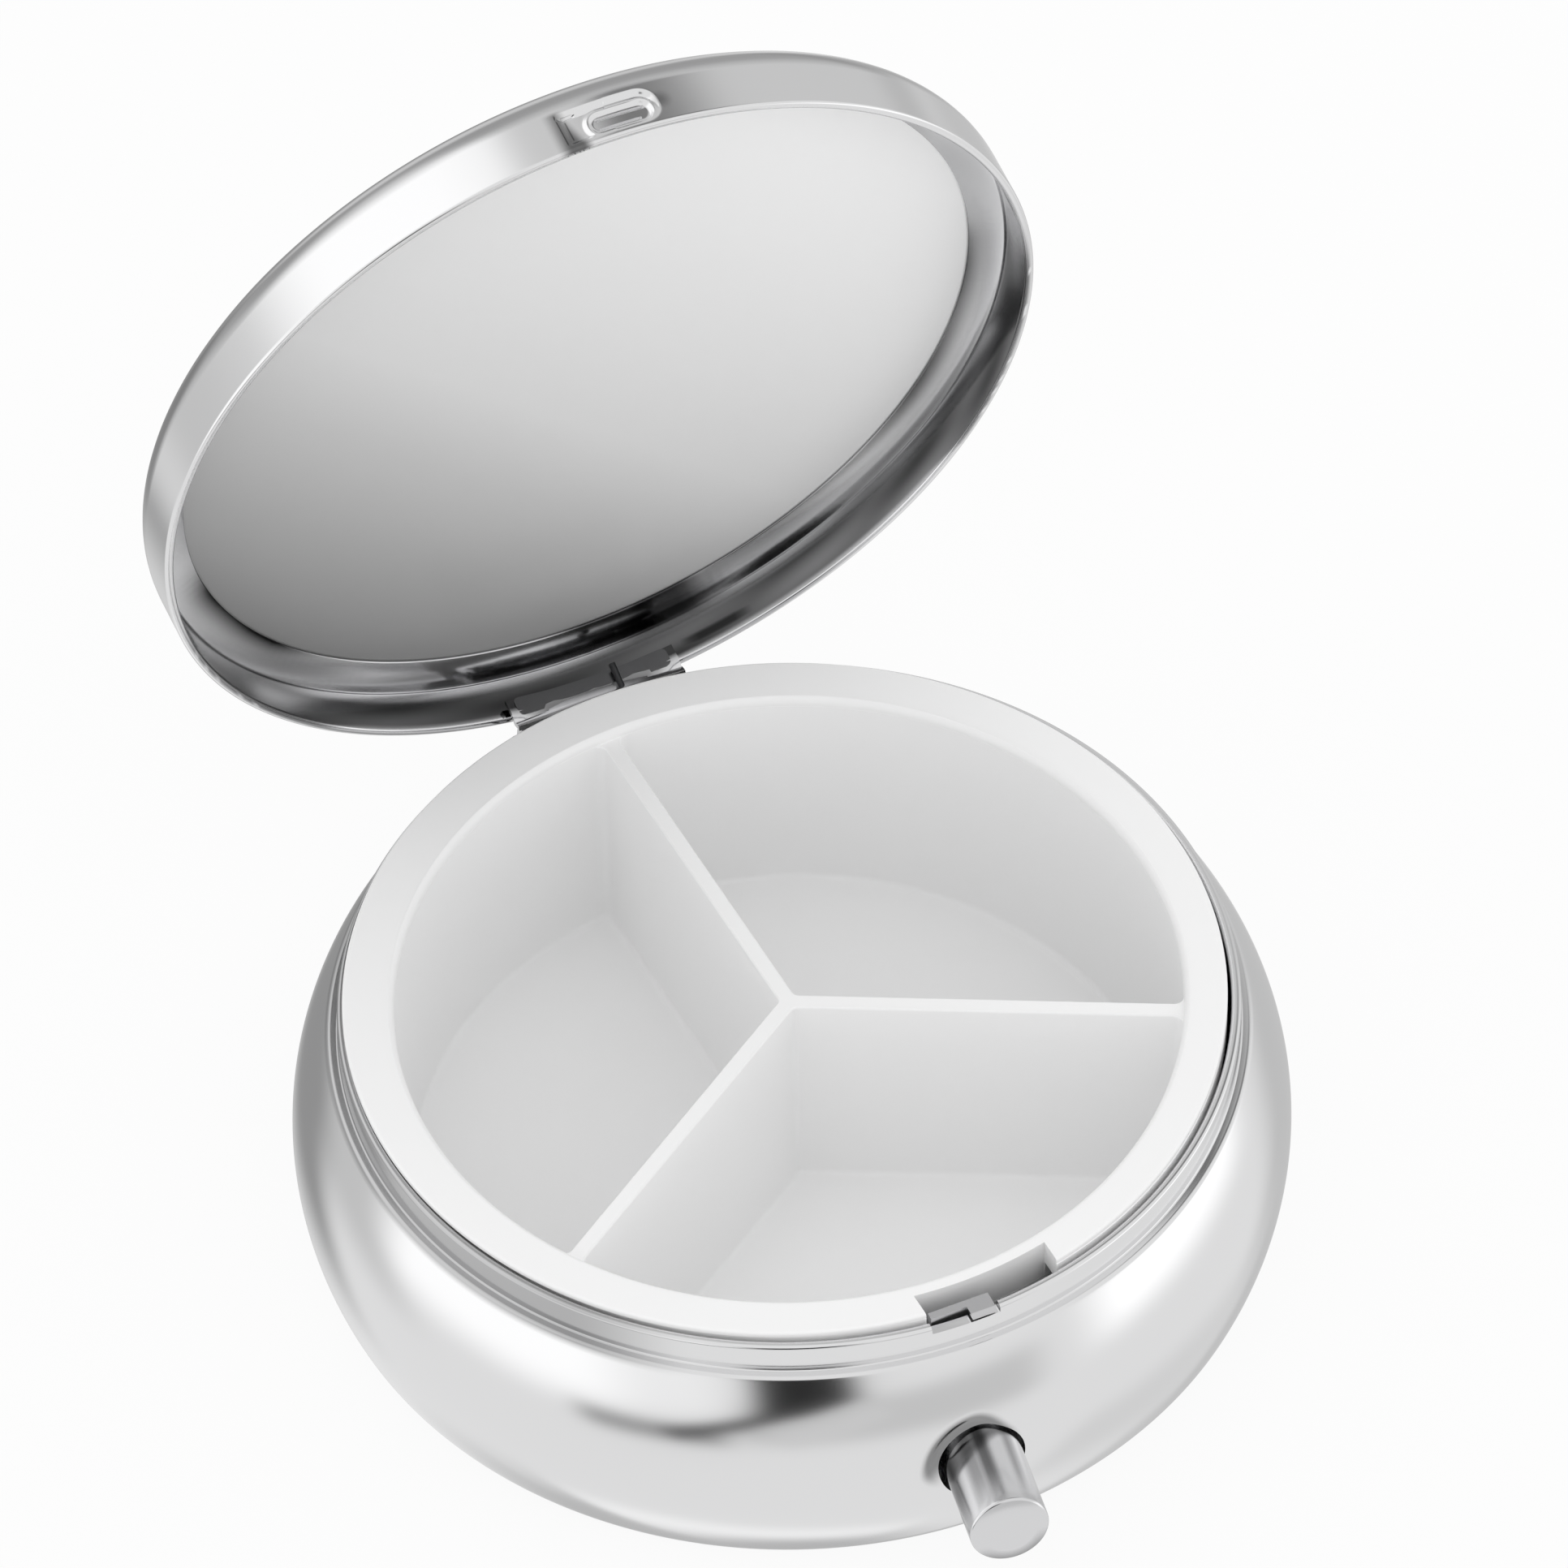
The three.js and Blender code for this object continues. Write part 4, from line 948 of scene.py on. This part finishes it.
# %% A tree that winds a wire
def make_winder():
    tree, given = new_tree("winder", [
        ("Lead", "Int"), ("Steps", "Int"), ("Sweep", "Float"), ("Length", "Float"),
        ("Radius", "Float"), ("Wire", "Float"), ("Middle", "Vector"),
        ("First leg", "Vector"), ("Last leg", "Vector"), ("Material", "Material")])
    number = add(tree, "GeometryNodeInputIndex").outputs[0]
    count = maths(tree, "ADD", maths(tree, "MULTIPLY_ADD", given["Lead"], 2.0, given["Steps"]), 1.0)
    wire = add(tree, "GeometryNodeMeshLine", {"Count": count})
    gone = maths(tree, "SUBTRACT", number, given["Lead"])
    wound = maths(tree, "DIVIDE", gone, given["Steps"])
    share = add(tree, "ShaderNodeClamp", {"Value": wound}).outputs[0]
    turn = maths(tree, "SUBTRACT", math.pi, maths(tree, "MULTIPLY", share, given["Sweep"]))
    place = add(tree, "ShaderNodeCombineXYZ", {
        "X": maths(tree, "MULTIPLY", maths(tree, "SUBTRACT", share, 0.5), given["Length"]),
        "Y": maths(tree, "MULTIPLY", maths(tree, "COSINE", turn), given["Radius"]),
        "Z": maths(tree, "MULTIPLY", maths(tree, "SINE", turn), given["Radius"])}).outputs[0]
    place = vector_maths(tree, "ADD", {0: place, 1: given["Middle"]})
    before = maths(tree, "DIVIDE", maths(tree, "MULTIPLY", gone, -1.0), given["Lead"])
    after = maths(tree, "DIVIDE", maths(tree, "SUBTRACT", gone, given["Steps"]), given["Lead"])
    for along, leg in ((before, "First leg"), (after, "Last leg")):
        along = maths(tree, "MAXIMUM", along, 0.0)
        reach = vector_maths(tree, "SCALE", {0: given[leg], "Scale": along})
        place = vector_maths(tree, "ADD", {0: place, 1: reach})
    shaped = add(tree, "GeometryNodeSetPosition", {"Geometry": wire.outputs[0], "Position": place})
    path = add(tree, "GeometryNodeMeshToCurve", {"Mesh": shaped.outputs[0]})
    round_wire = add(tree, "GeometryNodeCurvePrimitiveCircle", {
        "Resolution": 16, "Radius": given["Wire"]}, mode="RADIUS")
    solid = add(tree, "GeometryNodeCurveToMesh", {
        "Curve": path.outputs[0], "Profile Curve": round_wire.outputs[0], "Fill Caps": True})
    end_tree(tree, solid.outputs[0], given["Material"])
    return tree


WINDER = make_winder()
print("winder tree:", len(WINDER.nodes), "nodes")


# %% Wind the torsion spring
# Painted shade: the spring's right part, with its leg on the lid's leaf, is darkened to the tone of
# the shaded leaf.
def spring_shade(x, y, z):
    return 0.87 * smooth((x - 0.8) / 0.25)


SPRING_LENGTH, SPRING_R, WIRE_R, LAST_LEG = 2.6, 0.9, 0.175, 2.4
leg_turn = math.radians(110)
spring = grown("torsion_spring", bpy.data.meshes.new("torsion_spring"), WINDER, {
    "Lead": 8, "Steps": 160, "Sweep": math.radians(3 * 360 + 70), "Length": SPRING_LENGTH * MM,
    "Radius": SPRING_R * MM, "Wire": WIRE_R * MM, "Middle": Vector(PIVOT) * MM,
    "First leg": (0, 0.63 * MM, -2.8 * MM), "Material": spring_steel,
    "Last leg": (0, LAST_LEG * MM * math.sin(leg_turn), -LAST_LEG * MM * math.cos(leg_turn))})
shaded(spring, 50)
paint_shade(spring, spring_shade)
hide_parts("hinge_spring")
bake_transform(spring)
print("torsion spring:", len(spring.data.polygons), "faces")


# %% [markdown]
# ## The lid leaf's edge
# A curled edge on the lid's leaf covers the spring and closes the gap that the round pin
# leaves below the skirt. It could be a bent plane with a Solidify modifier. Here each of its
# sections is offset to both sides of a middle line that leaves the curl for the leaf's flat,
# and the flat follows the skirt's round wall.

# %% Curl the lid leaf's edge over the spring
LEAF_R, CURL_R, LEAF_FLAT, LEAF_THICK, LEAF_HALF = 22.526, 1.31, -0.745, 0.28, 4.6


def leaf_section(x):
    sag = LEAF_R - math.sqrt(LEAF_R ** 2 - x * x)
    curl = [(CURL_R * math.cos(a), CURL_R * math.sin(a)) for a in np.radians((166, 158, 149, 141))]
    flat = [(LEAF_FLAT - sag - 0.055, 1.32), *((LEAF_FLAT - sag, up) for up in (1.6, 1.85, 2.15))]
    middle = np.array(curl + flat)
    way = np.gradient(middle, axis=0)
    side = np.stack([-way[:, 1], way[:, 0]], 1) / np.hypot(*way.T)[:, None] * LEAF_THICK / 2
    outline = (*(middle + side), *(middle - side)[::-1])
    return [(x, PIVOT[1] + y, PIVOT[2] + z) for y, z in outline]


# Painted shade: the flat of the leaf, along the lid's wall, is darkened to the tone of the wall's
# painted reflections; the curl stays light.
def leaf_shade(x, y, z):
    return 0.86 * smooth((z - PIVOT[2] - 1.36) / 0.2)


leaf_sections = [leaf_section(x) for x in np.linspace(-LEAF_HALF, LEAF_HALF, 25)]
leaf_edge = lofted("leaf_edge", leaf_sections, polished_silver)
paint_shade(leaf_edge, leaf_shade)
moved(leaf_edge, OPEN)
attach(leaf_edge, "lid")
print("leaf edge:", len(leaf_edge.data.polygons), "faces")


# %% [markdown]
# ## The latch's spring
# The leaf spring behind the latch is a bow of thin strip that flattens as the button is
# pressed. Its sections stand square to a parabola. A Curve modifier could bend a straight
# strip as well, but here the rule is short and the thickness stays the same.

# %% Bend the bow spring
BOW_MIDDLE, BOW_END, BOW_HALF = -22.475, -19.57, 6.2
BOW_LOW, BOW_TOP, STRIP_THICK = 7.42, 8.92, 0.25


def bow_section(x):
    deep = BOW_END - BOW_MIDDLE
    bend = deep * (x / BOW_HALF) ** 2
    lean = math.atan(deep * 2 * x / BOW_HALF ** 2)
    section = rounded(-STRIP_THICK / 2, STRIP_THICK / 2, BOW_LOW, BOW_TOP, 0.06, 3)
    return [(x - y * math.sin(lean), BOW_MIDDLE + bend + y * math.cos(lean), z) for y, z in section]


bow_sections = [bow_section(x) for x in np.linspace(-BOW_HALF, BOW_HALF, 49)]
bow = lofted("bow_spring", bow_sections, spring_steel)
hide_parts("latch_spring")
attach(bow, "base")
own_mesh(bow)
print("bow spring:", len(bow.data.polygons), "faces")

# %% [markdown]
# ## Leaves, pin, guide and hook
# These small pieces are plain bent strip and wire, mostly hidden. They could be made anew,
# but the CAD model's own shapes are right, so they stay and only get a finish. The lid's
# leaf is nearly black: painted shade, to match the dark painted reflections on the lid's
# inner wall. The hook is plain steel.

# %% Finish the small pieces
# The lid leaf's near black is painted shade, to match the dark painted reflections on the lid's
# inner wall.
painted_dark_steel = finish_of("painted_dark_steel", (0.2, 0.2, 0.205), 1, 0.25, 0.04, 0.2, 0.02)
latch_steel = finish_of("latch_steel", (0.66, 0.66, 0.67), 1, 0.3, 0.04, 0.2, 0.05)
SMALL_PIECES = {
    "hinge_base_leaf": satin_silver, "hinge_pin": spring_steel, "latch_guide": satin_silver,
    "latch_hook": latch_steel, "hinge_lid_leaf": painted_dark_steel}
for node, material in SMALL_PIECES.items():
    mesh = frame["nodes"][node].data
    mesh.materials.clear()
    mesh.materials.append(material)
print("finished:", ", ".join(SMALL_PIECES))

# %% [markdown]
# ## Studio
# A pale floor, soft light all round and a camera at the photograph's place. It could be
# aimed by eye, but it was fitted to the outlines of the base, the tray and the lid, so its
# angles, its distance and its lens are measured values.

# %% Camera
DISTANCE, AIM_RIGHT, AIM_UP, AIM_HEIGHT = 716.515, 0.037, 14.788, 8
FILM_WIDTH, PHOTO_PIXELS, FOCAL_PIXELS = 36, 1932, 17678.999


def make_camera():
    elevation, azimuth, roll = (math.radians(v) for v in (48.446, -22.729, -1.496))
    level = math.cos(elevation)
    back = Vector((math.sin(azimuth) * level, -math.cos(azimuth) * level, math.sin(elevation)))
    right = Vector((math.cos(azimuth), math.sin(azimuth), 0))
    up = back.cross(right)
    target = right * AIM_RIGHT + up * AIM_UP + Vector((0, 0, AIM_HEIGHT))
    side = right * math.cos(roll) + up * math.sin(roll)
    over = up * math.cos(roll) - right * math.sin(roll)
    data = bpy.data.cameras.new("camera")
    data.sensor_width, data.lens = FILM_WIDTH, FOCAL_PIXELS / PHOTO_PIXELS * FILM_WIDTH
    data.clip_start, data.clip_end = 0.05, 20
    camera = bpy.data.objects.new("camera", data)
    bpy.context.scene.collection.objects.link(camera)
    place = Matrix((side, over, back)).transposed().to_4x4()
    place.translation = (target + back * DISTANCE) * MM
    camera.matrix_world = place
    return camera


bpy.context.scene.camera = make_camera()
print("lens:", round(bpy.context.scene.camera.data.lens, 1), "mm")

# %% [markdown]
# The floor is matte and pale. To the camera, and in glass, it is mostly plain white, so it
# runs on into the background and still keeps a faint shadow. It is left out of the metal's
# reflections, where the panels of the next step stand for it.

# %% Floor
FLOOR_HALF, FLOOR_GLOW = 3, 0.9


def make_floor():
    mesh = bpy.data.meshes.new("floor")
    corners = [(x * FLOOR_HALF, y * FLOOR_HALF, 0) for x, y in ((-1, -1), (1, -1), (1, 1), (-1, 1))]
    mesh.from_pydata(corners, [], [(0, 1, 2, 3)])
    floor = bpy.data.objects.new("floor", mesh)
    bpy.context.scene.collection.objects.link(floor)
    material = bpy.data.materials.new("pale_floor")
    material.use_nodes = True
    tree = material.node_tree
    out = tree.nodes["Material Output"]
    matte = tree.nodes["Principled BSDF"]
    matte.inputs["Base Color"].default_value = (0.85, 0.85, 0.85, 1)
    matte.inputs["Roughness"].default_value = 0.9
    glow = add(tree, "ShaderNodeEmission", {"Strength": 1.0})
    path = add(tree, "ShaderNodeLightPath")
    camera, shine, glass = (
        path.outputs[f"Is {kind} Ray"] for kind in ("Camera", "Glossy", "Transmission"))
    seen = maths(tree, "MAXIMUM", camera, maths(tree, "MAXIMUM", shine, glass))
    share = maths(tree, "MULTIPLY", seen, FLOOR_GLOW)
    both = add(tree, "ShaderNodeMixShader", {0: share, 1: matte.outputs[0], 2: glow.outputs[0]})
    tree.links.new(both.outputs[0], out.inputs["Surface"])
    mesh.materials.append(material)
    floor.visible_glossy = False
    floor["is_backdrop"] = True


make_floor()
print("floor:", 2 * FLOOR_HALF, "m wide")

# %% [markdown]
# Polished metal shows little but its surroundings, so the light is a room of soft panels,
# painted on the world by direction. Area lamps could stand there instead, but they would
# light the white tray unevenly. Only glossy rays see the panels, and all others see plain
# white. A panel has, in degrees, its middle's azimuth and elevation, its half width and half
# height and its edge's softness, then its level, where 1 is white, and its turn in degrees.

# %% One soft panel
def panel_mask(tree, azimuth, elevation, centre, size, soft, turn):
    across = maths(tree, "WRAP", maths(tree, "SUBTRACT", azimuth, centre[0]), 180.0, -180.0)
    up = maths(tree, "SUBTRACT", elevation, centre[1])
    if turn:
        c, s = math.cos(math.radians(turn)), math.sin(math.radians(turn))
        across, up = (maths(tree, "MULTIPLY_ADD", across, c, maths(tree, "MULTIPLY", up, s)),
                      maths(tree, "MULTIPLY_ADD", up, c, maths(tree, "MULTIPLY", across, -s)))
    parts = [add(tree, "ShaderNodeMapRange", {
        "Value": maths(tree, "ABSOLUTE", away), "From Min": half - soft, "From Max": half + soft,
        "To Min": 1.0, "To Max": 0.0}, interpolation_type="SMOOTHSTEP").outputs[0]
        for away, half in zip((across, up), size)]
    return maths(tree, "MULTIPLY", parts[0], parts[1])


print("panel helper ready")

# %% Soft light all round
ROOM_LEVEL = 0.83
PANELS = {
    "left wall": ((-142, -8), (32, 20), 9, 0.6, 0),
    "upper left light": ((-130, 41), (45, 24), 12, 1.15, 0),
    "right wall": ((150, 28), (42, 44), 10, 0.63, 0),
    "upper right card": ((132, 53), (20, 8), 7, 0.14, 20),
    "right line": ((132, -10), (20, 5), 4, 0.52, 0),
    "left haze": ((-62, 4), (25, 17), 9, 0.96, 8),
    "left strip": ((-89, 1), (29, 16), 9, 1.16, 8),
    "right strip": ((64, -3), (24, 12), 8, 1.24, 0),
    "left flank": ((-172, -32), (30, 16), 9, 0.31, 0),
    "right flank": ((125, -42), (24, 25), 10, 0.57, 0),
    "right low": ((78, -56), (36, 9), 7, 0.72, 0),
    "low front": ((-4, -8), (30, 10), 5, 0.61, 0),
    "grey streak": ((-52, -17.5), (15, 4), 4, 0.3, 6),
    "foot glow": ((-50, -75), (78, 4.5), 5, 1.02, -4),
    "far foot": ((180, -77), (75, 11), 8, 0.52, 0),
    "underside": ((0, -90), (180, 8), 5, 0.5, 0),
    "dark tail": ((-38, -11), (13, 2.8), 2.5, 0.03, 32),
    "dark card": ((-22, 12), (10.6, 18), 3.5, 0.0, 5),
    "light under the card": ((-17.5, -8.8), (12, 6), 2, 0.67, 31),
}


def make_world():
    world = bpy.data.worlds.new("studio")
    bpy.context.scene.world = world
    world.use_nodes = True
    tree = world.node_tree
    tree.nodes.clear()
    out = tree.nodes.new("ShaderNodeOutputWorld")
    path = add(tree, "ShaderNodeLightPath")
    way = add(tree, "ShaderNodeTexCoord").outputs["Generated"]
    apart = add(tree, "ShaderNodeSeparateXYZ", {0: way})
    forward = maths(tree, "MULTIPLY", apart.outputs["Y"], -1.0)
    azimuth = maths(tree, "DEGREES", maths(tree, "ARCTAN2", apart.outputs["X"], forward))
    elevation = maths(tree, "DEGREES", maths(tree, "ARCSINE", apart.outputs["Z"]))
    level = ROOM_LEVEL
    for centre, size, soft, value, turn in PANELS.values():
        mask = panel_mask(tree, azimuth, elevation, centre, size, soft, turn)
        level = maths(tree, "MULTIPLY_ADD", mask, maths(tree, "SUBTRACT", value, level), level)
    room = add(tree, "ShaderNodeBackground", {"Color": (1, 1, 1, 1), "Strength": level})
    plain = add(tree, "ShaderNodeBackground", {"Color": (1, 1, 1, 1), "Strength": 1.0})
    both = add(tree, "ShaderNodeMixShader", {
        0: path.outputs["Is Glossy Ray"], 1: plain.outputs[0], 2: room.outputs[0]})
    tree.links.new(both.outputs[0], out.inputs["Surface"])


make_world()
print("panels of light:", len(PANELS))

# %% [markdown]
# ## View and sizes
# A photograph has its own response to light. A filmic view could imitate one, but the
# Standard view shows a colour about as it is written here. The last cell prints the box of
# the visual model.

# %% The view settings
bpy.context.scene.view_settings.view_transform = "Standard"
print("view transform:", bpy.context.scene.view_settings.view_transform)

# %% The visual model's size, and the end
low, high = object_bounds()
print("box of the visual model in mm:", [round(v / MM, 2) for v in (*low, *high)])
